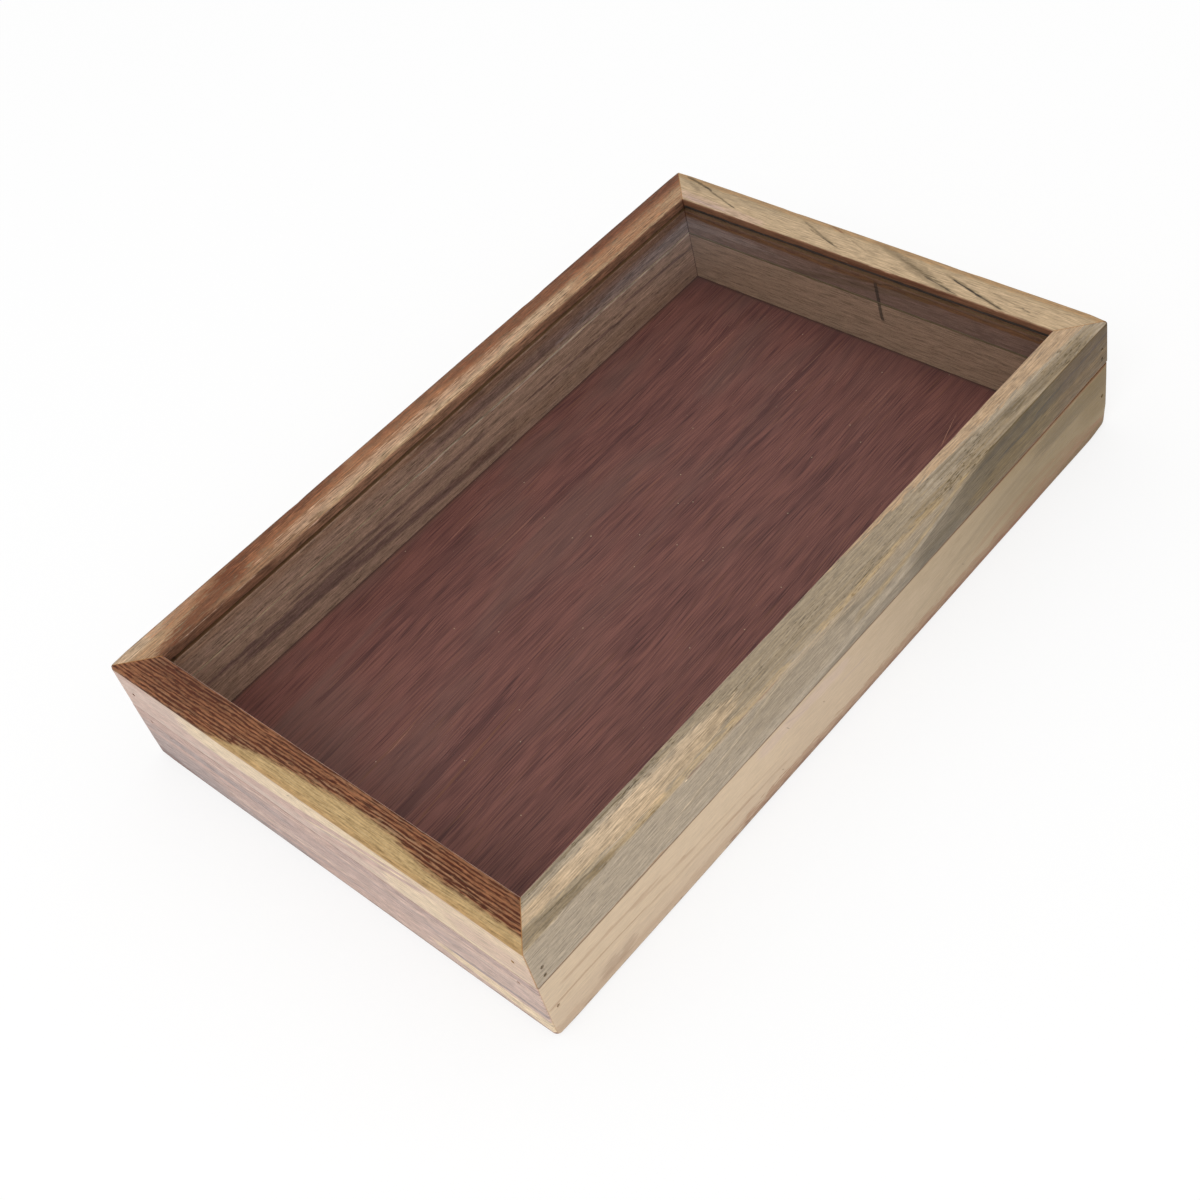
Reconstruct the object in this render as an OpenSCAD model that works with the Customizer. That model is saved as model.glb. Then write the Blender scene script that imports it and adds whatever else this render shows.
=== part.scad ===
// Insect specimen box: a mitred base tray and a lift-off lid that holds a glass pane.
// The origin is on the table under the middle of the box, X runs across it and Y along it.

/* [Box] */
// Outer length of the box, along Y
box_len = 310; // [200:1:500]
// Outer width of the box, along X
box_wid = 200; // [140:1:400]
// Thickness of the walls and of the lid's rails
wall_t = 14; // [12:0.5:22]

/* [Base] */
// Height of the base, from the table to the outer seam
base_h = 29; // [22:0.5:90]
// Thickness of the floor panel
floor_t = 3; // [2:0.5:6]
// Height of the floor panel's underside above the table
floor_recess = 5.5; // [3:0.5:9]

/* [Lid] */
// Height of the lid, from the outer seam to its top
lid_h = 20; // [18:0.5:40]
// Thickness of the glass pane
pane_t = 2; // [1.5:0.5:4]
// Height of the wood above the pane's groove
lip_h = 4; // [3:0.5:6]

/* [Grooves] */
// Depth of the pane's and the floor's grooves
groove_d = 5; // [3:0.5:6]
// Gap between a panel's edge and the bottom of its groove
panel_play = 0.5; // [0.2:0.1:1.5]
// Shadow gap above the pane in its groove
pane_gap = 0.5; // [0.2:0.1:1]
// Gap above the floor panel in its groove
floor_gap = 0.1; // [0.05:0.05:0.5]

/* [Joint of lid and base] */
// Height of the tongue that stands up from the base into the lid
tongue_h = 2; // [1:0.25:4]
// Thickness of the tongue
tongue_t = 6; // [3:0.5:7]
// Gap beside the tongue, between base and lid
joint_play = 0.25; // [0.1:0.05:0.6]
// Gap above the tongue, which shows inside as a fine joint line
joint_gap = 0.3; // [0.1:0.05:0.6]

/* [Edges] */
// Radius of the four upright corners
corner_r = 1.4; // [0.5:0.1:2.5]
// Radius of the lower outer arris
foot_r = 1.8; // [0.5:0.1:2.5]
// Radius of the lid's upper outer arris
top_r = 0.8; // [0.3:0.1:2]
// Bevel of the arrises round the lid's opening
opening_bevel = 0.5; // [0.2:0.1:1]
// Bevel of the two arrises that meet at the outer seam
seam_bevel = 0.3; // [0.1:0.05:0.6]
// Bevel of the tongue's two upper arrises
tongue_bevel = 0.4; // [0.1:0.1:0.8]

/* [Brads] */
// Diameter of a brad's shank
brad_d = 1; // [0.8:0.1:1.6]
// Diameter of a brad's head
brad_head_d = 1.3; // [1.2:0.1:2.2]
// Thickness of a brad's head
brad_head_t = 0.6; // [0.4:0.1:1]
// Length of a brad with its head
brad_len = 25; // [20:1:35]
// Depth at which the heads are set below the wood's face
brad_set = 0.8; // [0.4:0.1:2]
// Radial room round a brad in its hole
brad_play = 0.03; // [0.01:0.01:0.08]
// Distance of the brads in the long faces from the ends of the box
side_brad_inset = 4.3; // [3:0.1:6]
// Distance of the lid's brads in the short faces from the sides of the box
lid_end_brad_inset = 7.5; // [5:0.5:8]
// Distance of the base's brads in the short faces from the sides of the box
base_end_brad_inset = 9.5; // [5:0.5:10]
// Height above the seam of the lower lid brad in the long faces, at the front corners
lid_front_brad_rise = 3; // [2.5:0.1:4]
// Height above the seam of the lower lid brad in the long faces, at the back corners
lid_back_brad_rise = 5.3; // [2.5:0.1:5.5]
// Distance between the two brads one above the other
brad_pair_gap = 4.3; // [3.6:0.1:5.5]
// Height of the lid's brads in the short front face above the upper brad beside them
lid_end_brad_step = 1.8; // [1.5:0.1:2.5]
// Height above the table of the base's brads in the long faces, at the front corners
base_front_brad_z = 14.2; // [13:0.1:17]
// Height above the table of the base's brads in the long faces, at the back corners
base_back_brad_z = 16.5; // [13:0.1:17]
// Distance below the seam of the base's brads in the short faces
base_end_brad_drop = 4.8; // [3:0.1:6]

/* [Hidden] */
$fn = 48;

cut = 1;
box_h = base_h + lid_h;
pane_z = box_h - lip_h - pane_gap - pane_t;
floor_groove_h = floor_t + floor_gap;
pane_groove_h = pane_t + pane_gap;
rebate_h = tongue_h + joint_gap;
rebate_w = tongue_t + joint_play;
panel_reach = groove_d - panel_play;

base_light = "#d9c3a0";
base_mauve = "#b8a096";
base_grey = "#a89a80";
lid_straw = "#c9a86e";
lid_brown = "#a3744c";
lid_grey = "#b0a186";

// How far each side is turned from the right one, which faces +X
function turn(side) = side == "right" ? 0 : side == "back" ? 90 : side == "left" ? 180 : 270;

// Half the box's size square to a side's face, and the length of that side
function is_long(side) = side == "left" || side == "right";
function reach(side) = is_long(side) ? box_wid / 2 : box_len / 2;
function span(side) = is_long(side) ? box_len : box_wid;

// What a round of radius r takes off the upper outer corner of a section, at height z
module round_off(r, z) {
    translate([0, z])
        difference() {
            translate([-r, -r])
                square(r + cut);
            translate([-r, -r])
                circle(r);
        }
}

// A bevel of the size b at the corner x, z of a section
module bevel_off(b, x, z) {
    translate([x, z])
        rotate(45)
            square(b * sqrt(2), center = true);
}

// Section of a base wall, seen along it: its outer face is at x = 0 and its inner face at -wall_t
module base_section() {
    difference() {
        union() {
            translate([-wall_t, 0])
                square([wall_t, base_h]);
            translate([-wall_t, 0])
                square([tongue_t, base_h + tongue_h]);
        }
        mirror([0, 1])
            round_off(foot_r, 0);
        bevel_off(seam_bevel, 0, base_h);
        bevel_off(tongue_bevel, -wall_t, base_h + tongue_h);
        bevel_off(tongue_bevel, -wall_t + tongue_t, base_h + tongue_h);
        translate([-wall_t - cut, floor_recess])
            square([groove_d + cut, floor_groove_h]);
    }
}

// Section of a lid rail, in the same place as the wall's
module lid_section() {
    difference() {
        translate([-wall_t, base_h])
            square([wall_t, lid_h]);
        round_off(top_r, box_h);
        bevel_off(opening_bevel, -wall_t, box_h);
        bevel_off(seam_bevel, 0, base_h);
        translate([-wall_t - cut, base_h - cut])
            square([rebate_w + cut, rebate_h + cut]);
        translate([-wall_t - cut, pane_z])
            square([groove_d + cut, pane_groove_h]);
    }
}

// Plan of one side, mitred at both ends, with the upright corners rounded
module mitred_plan(length) {
    intersection() {
        polygon([
            [0, -length / 2],
            [0, length / 2],
            [-wall_t, length / 2 - wall_t],
            [-wall_t, wall_t - length / 2]
        ]);
        union() {
            translate([-wall_t, corner_r - length / 2])
                square([wall_t, length - 2 * corner_r]);
            translate([-wall_t, -length / 2])
                square([wall_t - corner_r, length]);
            for (end = [-1, 1])
                translate([-corner_r, end * (length / 2 - corner_r)])
                    circle(corner_r);
        }
    }
}

// A board on one side of the box, with the section given as its child
module side_board(side) {
    rotate(turn(side))
        translate([reach(side), 0, 0])
            intersection() {
                rotate([90, 0, 0])
                    linear_extrude(span(side), center = true)
                        children();
                translate([0, 0, -cut])
                    linear_extrude(box_h + 2 * cut)
                        mitred_plan(span(side));
            }
}

// A brad driven in along +Z, through the wood's face at z = 0
module brad() {
    translate([0, 0, brad_set])
        union() {
            cylinder(d = brad_head_d, h = brad_head_t);
            cylinder(d = brad_d, h = brad_len);
        }
}

// The hole that a driven brad leaves
module brad_hole() {
    translate([0, 0, -cut])
        cylinder(d = brad_head_d + 2 * brad_play, h = cut + brad_set + brad_head_t + brad_play);
    cylinder(d = brad_d + 2 * brad_play, h = brad_set + brad_len + brad_play);
}

// Places its child in both long faces at the ends in the list, at the height z, pointing inwards
module in_long_faces(ends, z) {
    for (side = [-1, 1], end = ends)
        translate([side * box_wid / 2, end * (box_len / 2 - side_brad_inset), z])
            rotate([0, -90 * side, 0])
                children();
}

// Places its child in the short faces in the list, at both their ends, at the height z, pointing inwards
module in_short_faces(ends, inset, z) {
    for (side = [-1, 1], end = ends)
        translate([side * (box_wid / 2 - inset), end * box_len / 2, z])
            rotate([90 * end, 0, 0])
                children();
}

module at_lid_side_brads() {
    for (step = [0, brad_pair_gap]) {
        in_long_faces([-1], base_h + lid_front_brad_rise + step)
            children();
        in_long_faces([1], base_h + lid_back_brad_rise + step)
            children();
    }
}

// The brads in the back face pass midway between the two beside them
module at_lid_end_brads() {
    in_short_faces([-1], lid_end_brad_inset, base_h + lid_front_brad_rise + brad_pair_gap + lid_end_brad_step)
        children();
    in_short_faces([1], lid_end_brad_inset, base_h + lid_back_brad_rise + brad_pair_gap / 2)
        children();
}

module at_base_side_brads() {
    in_long_faces([-1], base_front_brad_z)
        children();
    in_long_faces([1], base_back_brad_z)
        children();
}

module at_base_end_brads() {
    in_short_faces([-1, 1], base_end_brad_inset, base_h - base_end_brad_drop)
        children();
}

module base_wall(side) {
    difference() {
        side_board(side)
            base_section();
        at_base_side_brads()
            brad_hole();
        at_base_end_brads()
            brad_hole();
    }
}

module lid_rail(side) {
    difference() {
        side_board(side)
            lid_section();
        at_lid_side_brads()
            brad_hole();
        at_lid_end_brads()
            brad_hole();
    }
}

// A flat panel that reaches into the grooves on all four sides
module grooved_panel(z, thickness) {
    panel_wid = box_wid - 2 * wall_t + 2 * panel_reach;
    panel_len = box_len - 2 * wall_t + 2 * panel_reach;
    translate([-panel_wid / 2, -panel_len / 2, z])
        cube([panel_wid, panel_len, thickness]);
}

module base_front_wall() {
    color(base_mauve)
        base_wall("front");
}

module base_back_wall() {
    color(base_grey)
        base_wall("back");
}

module base_left_wall() {
    color(base_grey)
        base_wall("left");
}

module base_right_wall() {
    color(base_light)
        base_wall("right");
}

module floor_panel() {
    color("#6a423c")
        grooved_panel(floor_recess, floor_t);
}

module base_side_brads() {
    color("dimgray")
        at_base_side_brads()
            brad();
}

module base_end_brads() {
    color("dimgray")
        at_base_end_brads()
            brad();
}

module lid_front_rail() {
    color(lid_brown)
        lid_rail("front");
}

module lid_back_rail() {
    color(lid_straw)
        lid_rail("back");
}

module lid_left_rail() {
    color(lid_brown)
        lid_rail("left");
}

module lid_right_rail() {
    color(lid_grey)
        lid_rail("right");
}

module pane() {
    color("lightcyan", 0.25)
        grooved_panel(pane_z, pane_t);
}

module lid_side_brads() {
    color("dimgray")
        at_lid_side_brads()
            brad();
}

module lid_end_brads() {
    color("dimgray")
        at_lid_end_brads()
            brad();
}

base_front_wall();
base_back_wall();
base_left_wall();
base_right_wall();
floor_panel();
base_side_brads();
base_end_brads();
lid_front_rail();
lid_back_rail();
lid_left_rail();
lid_right_rail();
pane();
lid_side_brads();
lid_end_brads();
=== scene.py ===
"""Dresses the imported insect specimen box: mitred boards worn by hand, veneered floor, glass and brads."""

import math
from typing import NamedTuple

import bmesh
import bpy
from bpy.props import FloatProperty, FloatVectorProperty, PointerProperty
from bpy.types import Operator, Panel, PropertyGroup
from mathutils import Matrix, Vector, noise


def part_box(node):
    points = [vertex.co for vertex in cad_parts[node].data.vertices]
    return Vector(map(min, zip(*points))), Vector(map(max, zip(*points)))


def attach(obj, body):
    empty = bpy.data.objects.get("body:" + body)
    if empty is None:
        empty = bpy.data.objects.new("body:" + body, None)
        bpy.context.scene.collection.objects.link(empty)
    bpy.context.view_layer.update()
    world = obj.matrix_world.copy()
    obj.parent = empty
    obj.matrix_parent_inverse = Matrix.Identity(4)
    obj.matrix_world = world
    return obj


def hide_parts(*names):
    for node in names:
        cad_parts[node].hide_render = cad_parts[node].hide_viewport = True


bl_info = {
    "name": "Insect Specimen Box",
    "version": (1, 0, 0),
    "blender": (4, 5, 0),
    "location": "View3D > Sidebar > Specimen Box",
    "description": "Builds the boards, floor, pane and brads of a mitred specimen box",
    "category": "Object",
}

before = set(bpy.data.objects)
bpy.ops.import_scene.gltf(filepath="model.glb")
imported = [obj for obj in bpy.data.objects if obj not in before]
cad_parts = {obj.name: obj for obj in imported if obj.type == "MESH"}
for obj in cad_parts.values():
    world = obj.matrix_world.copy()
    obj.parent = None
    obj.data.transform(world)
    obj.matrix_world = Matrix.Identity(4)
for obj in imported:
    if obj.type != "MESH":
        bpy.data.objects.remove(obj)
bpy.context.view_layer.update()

MM = 0.001

LARGEST_SIZE = 100 * MM
SHARP_FROM = math.radians(32)

# The white floor lies this far below the box, so that the two surfaces don't meet
FLOOR_DROP = 0.02 * MM

# The soft light's place and width, in metres, and how high the dark ceiling begins and is closed
KEY_PLACE = (0.5, -1.1, 1.5)
KEY_WIDTH = 0.9
CEILING_STARTS = math.radians(32.5)
CEILING_CLOSED = math.radians(38.5)

# What shiny surfaces see of the pale backdrop, and what is left of it above, with a faint blue cast
BACKDROP = 0.8
CEILING = 0.03
BACKDROP_TINT = (0.95, 0.98, 1.04)

# The sides in turn, each starting at the corner of the same place in CORNERS and ending at the next one
SIDES = ("right", "back", "left", "front")
CORNERS = ("front_right", "back_right", "back_left", "front_left")

# How far each side is turned from the right one, in degrees, and the direction from its face into the box
TURNS = {"right": 0, "back": 90, "left": 180, "front": 270}
INWARDS = {"right": (-1, 0), "back": (0, -1), "left": (1, 0), "front": (0, 1)}


def chip(red, green, blue):
    """A colour off a paint chip, 0 to 255 each, as the linear values that Blender mixes."""
    shares = (value / 255 for value in (red, green, blue))
    return tuple(share / 12.92 if share < 0.04 else ((share + 0.055) / 1.055) ** 2.4 for share in shares)


def wood_colour(name, red, green, blue):
    return FloatVectorProperty(
        name=name.capitalize(),
        description=f"Colour of the {name} in the wood",
        default=chip(red, green, blue),
        subtype="COLOR",
        size=3,
        min=0,
        max=1,
    )


class SPECIMEN_PG_colours(PropertyGroup):
    """Colours of the woods, as they look in plain daylight."""

    cream: wood_colour("cream sapwood", 229, 205, 170)
    blush: wood_colour("pinkish sapwood", 209, 184, 168)
    mauve: wood_colour("mauve grain", 179, 153, 144)
    dusk: wood_colour("grey-mauve grain", 158, 139, 134)
    rose: wood_colour("rose grain", 197, 164, 149)
    peach: wood_colour("peach sapwood", 214, 190, 162)
    apricot: wood_colour("apricot sapwood", 190, 156, 121)
    tan: wood_colour("tan grain", 200, 173, 140)
    wheat: wood_colour("wheat grain", 188, 162, 128)
    biscuit: wood_colour("biscuit-coloured grain", 178, 147, 113)
    flax: wood_colour("flax-coloured grain", 158, 137, 103)
    straw: wood_colour("straw grain", 192, 160, 110)
    honey: wood_colour("varnished honey grain", 170, 122, 70)
    grey: wood_colour("weathered grey", 184, 167, 145)
    sage: wood_colour("grey-brown grain", 146, 129, 104)
    slate: wood_colour("slate stain", 84, 70, 44)
    olive: wood_colour("olive heartwood", 122, 99, 58)
    russet: wood_colour("russet heartwood", 150, 99, 66)
    rust: wood_colour("rust-brown heartwood", 110, 63, 39)
    umber: wood_colour("umber late wood", 84, 44, 27)
    ink: wood_colour("black stain", 58, 50, 43)
    glue: wood_colour("glue line", 168, 116, 60)
    wall: wood_colour("inner wall", 194, 157, 134)
    wall_dark: wood_colour("darker inner wall", 128, 98, 90)
    lip: wood_colour("varnished lip", 124, 86, 60)
    veneer: wood_colour("red-brown veneer", 152, 97, 88)
    veneer_dark: wood_colour("darker veneer", 90, 56, 57)
    scratch: wood_colour("scratched veneer", 204, 144, 122)


def length(name, description, millimetres):
    return FloatProperty(
        name=name,
        description=description,
        default=millimetres * MM,
        min=0,
        max=LARGEST_SIZE,
        unit="LENGTH",
        precision=5,
    )


class SPECIMEN_PG_sizes(PropertyGroup):
    """Sizes of the joinery that the frame's boxes don't give, and of the hand's work on it."""

    groove_depth: length("Groove depth", "Depth of the grooves for the pane and the floor", 5)
    pane_gap: length("Gap above the pane", "Shadow gap above the pane in its groove", 0.5)
    floor_gap: length("Gap above the floor", "Gap above the floor panel in its groove", 0.1)
    tongue: length("Tongue thickness", "Thickness of the base's tongue", 6)
    tongue_bevel: length("Tongue bevel", "Bevel of the tongue's two upper arrises", 0.25)
    joint_play: length("Play beside the tongue", "Gap beside the tongue, between base and lid", 0.25)
    joint_gap: length("Gap above the tongue", "Gap above the tongue, which shows inside", 0.3)
    top_round: length("Top arris", "Radius of the lid's upper outer arris", 0.8)
    opening_round: length("Opening arris", "Radius of the arris round the lid's opening", 0.5)
    seam_round: length("Seam arris", "Radius of the two arrises at the outer seam", 0.3)
    hidden_round: length("Inner arris", "Radius of the arrises inside the box", 0.25)
    station: length("Station", "Distance between two sections along a board", 1.6)
    side_brad_inset: length("Brad inset, long faces", "Distance of those brads from the box's ends", 4.3)
    lid_brad_inset: length("Lid brad inset, short faces", "Distance of those brads from the sides", 7.5)
    base_brad_inset: length("Base brad inset, short faces", "Distance of those brads from the sides", 9.5)
    front_brad_rise: length("Front brad rise", "Height of the lower front lid brad above the seam", 3)
    back_brad_rise: length("Back brad rise", "Height of the lower back lid brad above the seam", 5.3)
    brad_pair_gap: length("Brad pair", "Distance between two brads one above the other", 4.3)
    end_brad_step: length("End brad step", "Height of the front end brads above the pair beside them", 1.8)
    front_brad_height: length("Front base brads", "Height of the front base brads above the table", 14.2)
    back_brad_height: length("Back base brads", "Height of the back base brads above the table", 16.5)
    end_brad_drop: length("End brad drop", "Distance of the base's end brads below the seam", 4.8)
    brad_depth: length("Brad depth", "Depth of a brad's point below the wood's face", 25.83)
    brad_head: length("Brad head", "Radius of the hole over a brad's head", 0.68)
    brad_shank: length("Brad shank", "Radius of the hole round a brad's shank", 0.53)
    brad_seat: length("Brad seat", "Depth of the underside of a brad's head", 1.43)


def angle(name, description, degrees):
    return FloatProperty(
        name=name,
        description=description,
        default=math.radians(degrees),
        subtype="ANGLE",
    )


class SPECIMEN_PG_stage(PropertyGroup):
    """Camera, floor and light."""

    camera_place: FloatVectorProperty(
        name="Camera place",
        description="Where the camera stands",
        default=(0.3674, -0.2892, 0.4916),
        subtype="TRANSLATION",
        unit="LENGTH",
        precision=4,
    )
    camera_azimuth: angle("Azimuth", "Direction that the camera looks in, from +Y towards -X", 53.72)
    camera_elevation: angle("Elevation", "Angle that the camera looks down at", 46.55)
    camera_roll: angle("Roll", "Turn of the camera about its own line of sight", -16.68)
    lens: FloatProperty(
        name="Lens",
        description="Focal length on a sensor 36 mm wide",
        default=55.4,
        unit="CAMERA",
    )
    floor_radius: FloatProperty(
        name="Floor radius",
        description="Radius of the white floor",
        default=6.0,
        unit="LENGTH",
    )
    sky: FloatProperty(
        name="Sky",
        description="Strength of the even light from all round",
        default=0.86,
        min=0,
        max=1,
    )
    key: FloatProperty(
        name="Key light",
        description="Power of the soft light on the camera's side",
        default=7.0,
        unit="POWER",
    )


class Corner(NamedTuple):
    """What the hand has done to one upright corner, in mm.

    The upright values are the radii of its edge near the table, under the seam and on the lid. Crown is what
    the lid's upper arris has lost there, foot the radius of the arris at the table, and ball what rounds the
    corner of the foot further. The seam is higher by seam_rise there, and its gap is seam_gap wide.
    """

    upright_low: float
    upright_seam: float
    upright_top: float
    crown: float
    foot: float
    ball: float
    seam_rise: float
    seam_gap: float


CORNER_WEAR = {
    "front_right": Corner(1.7, 0.9, 0.9, 0.2, foot=1.7, ball=0.5, seam_rise=0.3, seam_gap=0.12),
    "back_right": Corner(2.8, 1.8, 1.2, 1.0, foot=1.6, ball=1.8, seam_rise=1.0, seam_gap=0.6),
    "back_left": Corner(1.5, 1.0, 1.0, 0.4, foot=1.3, ball=0.8, seam_rise=0.0, seam_gap=0.15),
    "front_left": Corner(1.4, 1.2, 1.6, 0.6, foot=0.9, ball=0.8, seam_rise=-0.2, seam_gap=0.1),
}

# How far from a corner its foot, its crown and its seam gap are felt, and where wavers die out, in mm
FOOT_REACH = 12
CROWN_REACH = 8
GAP_REACH = 45
WAVER_REACH = 12

# Heights in mm at which the ball at a corner's foot is still whole, and gone, and at which its upright edge
# has the lower radius
BALL_WHOLE = 2
BALL_GONE = 11
UPRIGHT_LOW = 3

# Gap at the outer seam away from the corners, in mm
SEAM_GAP = 0.08


class Waver:
    """Seeds that keep the slow wavers of the arrises apart."""

    TOP = 1.0
    OPENING = 2.0
    FOOT = 3.0
    WALL_SEAM = 4.0
    RAIL_SEAM = 5.0
    BEVEL = 6.0
    FLOOR_GROOVE = 8.0
    SEAM_GAP = 21.0


# Share of the usual rounding that the lid's upper outer arris has on each side
TOP_ROUNDING = {"right": 1.0, "back": 0.5, "left": 0.5, "front": 1.0}

# How much lower the seam runs midway along a side than between its two corners, in mm
SEAM_DIP = {"right": 0.9, "back": 0.1, "left": 0.1, "front": 0.3}

# Chips out of the arris round the opening: along the board, half length and depth, in mm
OPENING_CHIPS = {
    "back": ((22, 5, 0.7), (31, 4, 0.5), (38, 7, 0.8), (47, 3, 0.4), (120, 2, 0.2)),
    "right": ((58, 4, 0.3), (131, 3, 0.2), (243, 3, 0.25)),
    "left": ((64, 3, 0.3), (205, 5, 0.3)),
    "front": ((88, 3, 0.25), (151, 2, 0.3)),
}

# Dents in the lid's upper outer arris, in the same way
TOP_CHIPS = {
    "right": ((73.5, 0.9, 0.5), (160, 3, 0.2), (262, 5, 0.3)),
    "back": ((60, 5, 0.3), (140, 7, 0.3)),
    "left": ((90, 4, 0.3), (220, 6, 0.4)),
    "front": ((63, 6, 0.4), (148, 5, 0.3)),
}


class Box:
    """Heights and half sizes of the box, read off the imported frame, in metres."""

    def __init__(self):
        _, wall_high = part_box("base_right_wall")
        end_low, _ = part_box("lid_front_rail")
        rail_low, rail_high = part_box("lid_right_rail")
        pane_low, pane_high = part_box("pane")
        floor_low, floor_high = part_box("floor_panel")
        self.half_width = rail_high.x
        self.half_length = -end_low.y
        self.wall = rail_high.x - rail_low.x
        self.seam = rail_low.z
        self.top = rail_high.z
        self.tongue_top = wall_high.z
        self.pane_low = pane_low.z
        self.pane_high = pane_high.z
        self.floor_low = floor_low.z
        self.floor_high = floor_high.z

    def reach(self, side):
        """Distance from the middle of the box to a side's outer face."""
        return self.half_width if side in ("right", "left") else self.half_length

    def half_span(self, side):
        """Half the length of a side."""
        return self.half_length if side in ("right", "left") else self.half_width


BOX = Box()


def in_frame(side, outward, along, height):
    """A point given in a side's own directions, in the frame."""
    turned = Matrix.Rotation(math.radians(TURNS[side]), 3, "Z") @ Vector((outward, along, 0))
    return Vector((turned.x, turned.y, height))


def from_left_or_front(side, along):
    """Distance along a side from the box's front or left end, in mm."""
    forward = along if side in ("right", "front") else -along
    return (forward + BOX.half_span(side)) / MM


def smooth_step(low, high, value):
    share = min(max((value - low) / (high - low), 0), 1)
    return share * share * (3 - 2 * share)


def arc(centre, radius, first, last, steps):
    """Points of a section's arc as (depth, height), between two angles in degrees."""
    points = []
    for step in range(steps + 1):
        angle = math.radians(first + (last - first) * step / steps)
        points.append((centre[0] + radius * math.cos(angle), centre[1] + radius * math.sin(angle)))
    return points


def straight(first, last, steps):
    """Points between two points of a section, without its ends."""
    points = []
    for step in range(1, steps):
        share = step / steps
        points.append((first[0] + (last[0] - first[0]) * share, first[1] + (last[1] - first[1]) * share))
    return points


class Wear:
    """The hand's work on one side of the box, at any place along it."""

    def __init__(self, side):
        self.side = side
        index = SIDES.index(side)
        self.ends = (CORNER_WEAR[CORNERS[index]], CORNER_WEAR[CORNERS[(index + 1) % 4]])
        self.half = BOX.half_span(side)

    def between(self, name, along):
        share = (along / self.half + 1) / 2
        return ((1 - share) * getattr(self.ends[0], name) + share * getattr(self.ends[1], name)) * MM

    def waver(self, along, seed, wave=20 * MM):
        """A slow waver from -1 to 1 along the board, which dies out at the mitres."""
        free = smooth_step(0, WAVER_REACH * MM, self.half - abs(along))
        return free * noise.noise(Vector((along / wave, seed, 7.0 * SIDES.index(self.side))))

    def chips(self, along, chips):
        place = from_left_or_front(self.side, along)
        depth = 0.0
        for middle, half, deep in chips.get(self.side, ()):
            depth += deep * max(0, 1 - ((place - middle) / half) ** 2)
        return depth * (1 + 0.5 * noise.noise(Vector((place / 1.3, 3.0, 1.0)))) * MM

    def seam(self, along):
        share = (along / self.half + 1) / 2
        dip = SEAM_DIP[self.side] * MM * 4 * share * (1 - share)
        return BOX.seam + self.between("seam_rise", along) - dip

    def seam_gap(self, along):
        """Gap at the outer seam, widest close to a corner."""
        nearest = self.ends[0 if along < 0 else 1].seam_gap
        close = smooth_step(GAP_REACH * MM, 0, self.half - abs(along))
        gap = SEAM_GAP + (nearest - SEAM_GAP) * close
        return gap * MM * (1 + 0.25 * self.waver(along, Waver.SEAM_GAP))

    def foot(self, along):
        """Radius of the foot, larger close to a corner."""
        corner = self.ends[0 if along < 0 else 1]
        close = smooth_step(FOOT_REACH * MM, 0, self.half - abs(along))
        wavering = 1 + 0.16 * self.waver(along, Waver.FOOT, 35 * MM)
        return self.between("foot", along) * wavering + corner.ball * close * MM

    def upright(self, height, along):
        """Radius of the upright corner nearest to a place, at a height."""
        corner = self.ends[0 if along < 0 else 1]
        if height > BOX.seam + corner.seam_rise * MM:
            return corner.upright_top * MM
        low = smooth_step(BOX.seam, UPRIGHT_LOW * MM, height)
        lowest = smooth_step(BALL_GONE * MM, BALL_WHOLE * MM, height)
        radius = corner.upright_seam + (corner.upright_low - corner.upright_seam) * low
        return (radius + corner.ball * lowest) * MM

    def crown(self, along):
        """What the lid's upper arris has lost on top of its usual rounding, close to a corner."""
        close = smooth_step(CROWN_REACH * MM, 0, self.half - abs(along))
        return self.ends[0 if along < 0 else 1].crown * close * MM


def lid_outline(sizes, wear, along):
    """Section of a lid rail as (depth from the outer face, height), from the seam round by the top."""
    wall = BOX.wall
    low = wear.seam(along) + wear.seam_gap(along)
    seam_round = sizes.seam_round * (1 + 0.4 * wear.waver(along, Waver.RAIL_SEAM))
    rounding = TOP_ROUNDING[wear.side] * (1 + 0.35 * wear.waver(along, Waver.TOP))
    top_round = sizes.top_round * rounding + wear.chips(along, TOP_CHIPS) + wear.crown(along)
    opening = sizes.opening_round * (1 + 0.4 * wear.waver(along, Waver.OPENING))
    opening += wear.chips(along, OPENING_CHIPS)
    inner = sizes.hidden_round
    groove = BOX.pane_high + sizes.pane_gap
    rebate = BOX.tongue_top + sizes.joint_gap
    rebate_depth = wall - sizes.tongue - sizes.joint_play
    bottom = wall - sizes.groove_depth
    points = arc((seam_round, low + seam_round), seam_round, 270, 180, 3)
    points += straight((0, low), (0, BOX.top), 4)
    points += arc((top_round, BOX.top - top_round), top_round, 180, 90, 6)
    points += straight((top_round, BOX.top), (wall - opening, BOX.top), 4)
    points += arc((wall - opening, BOX.top - opening), opening, 90, 0, 4)
    points += [(wall, groove + inner), (wall - inner, groove), (bottom, groove), (bottom, BOX.pane_low)]
    points += [(wall - inner, BOX.pane_low), (wall, BOX.pane_low - inner)]
    points += [(wall, rebate + inner), (wall - inner, rebate), (rebate_depth, rebate), (rebate_depth, low)]
    return points


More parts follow.
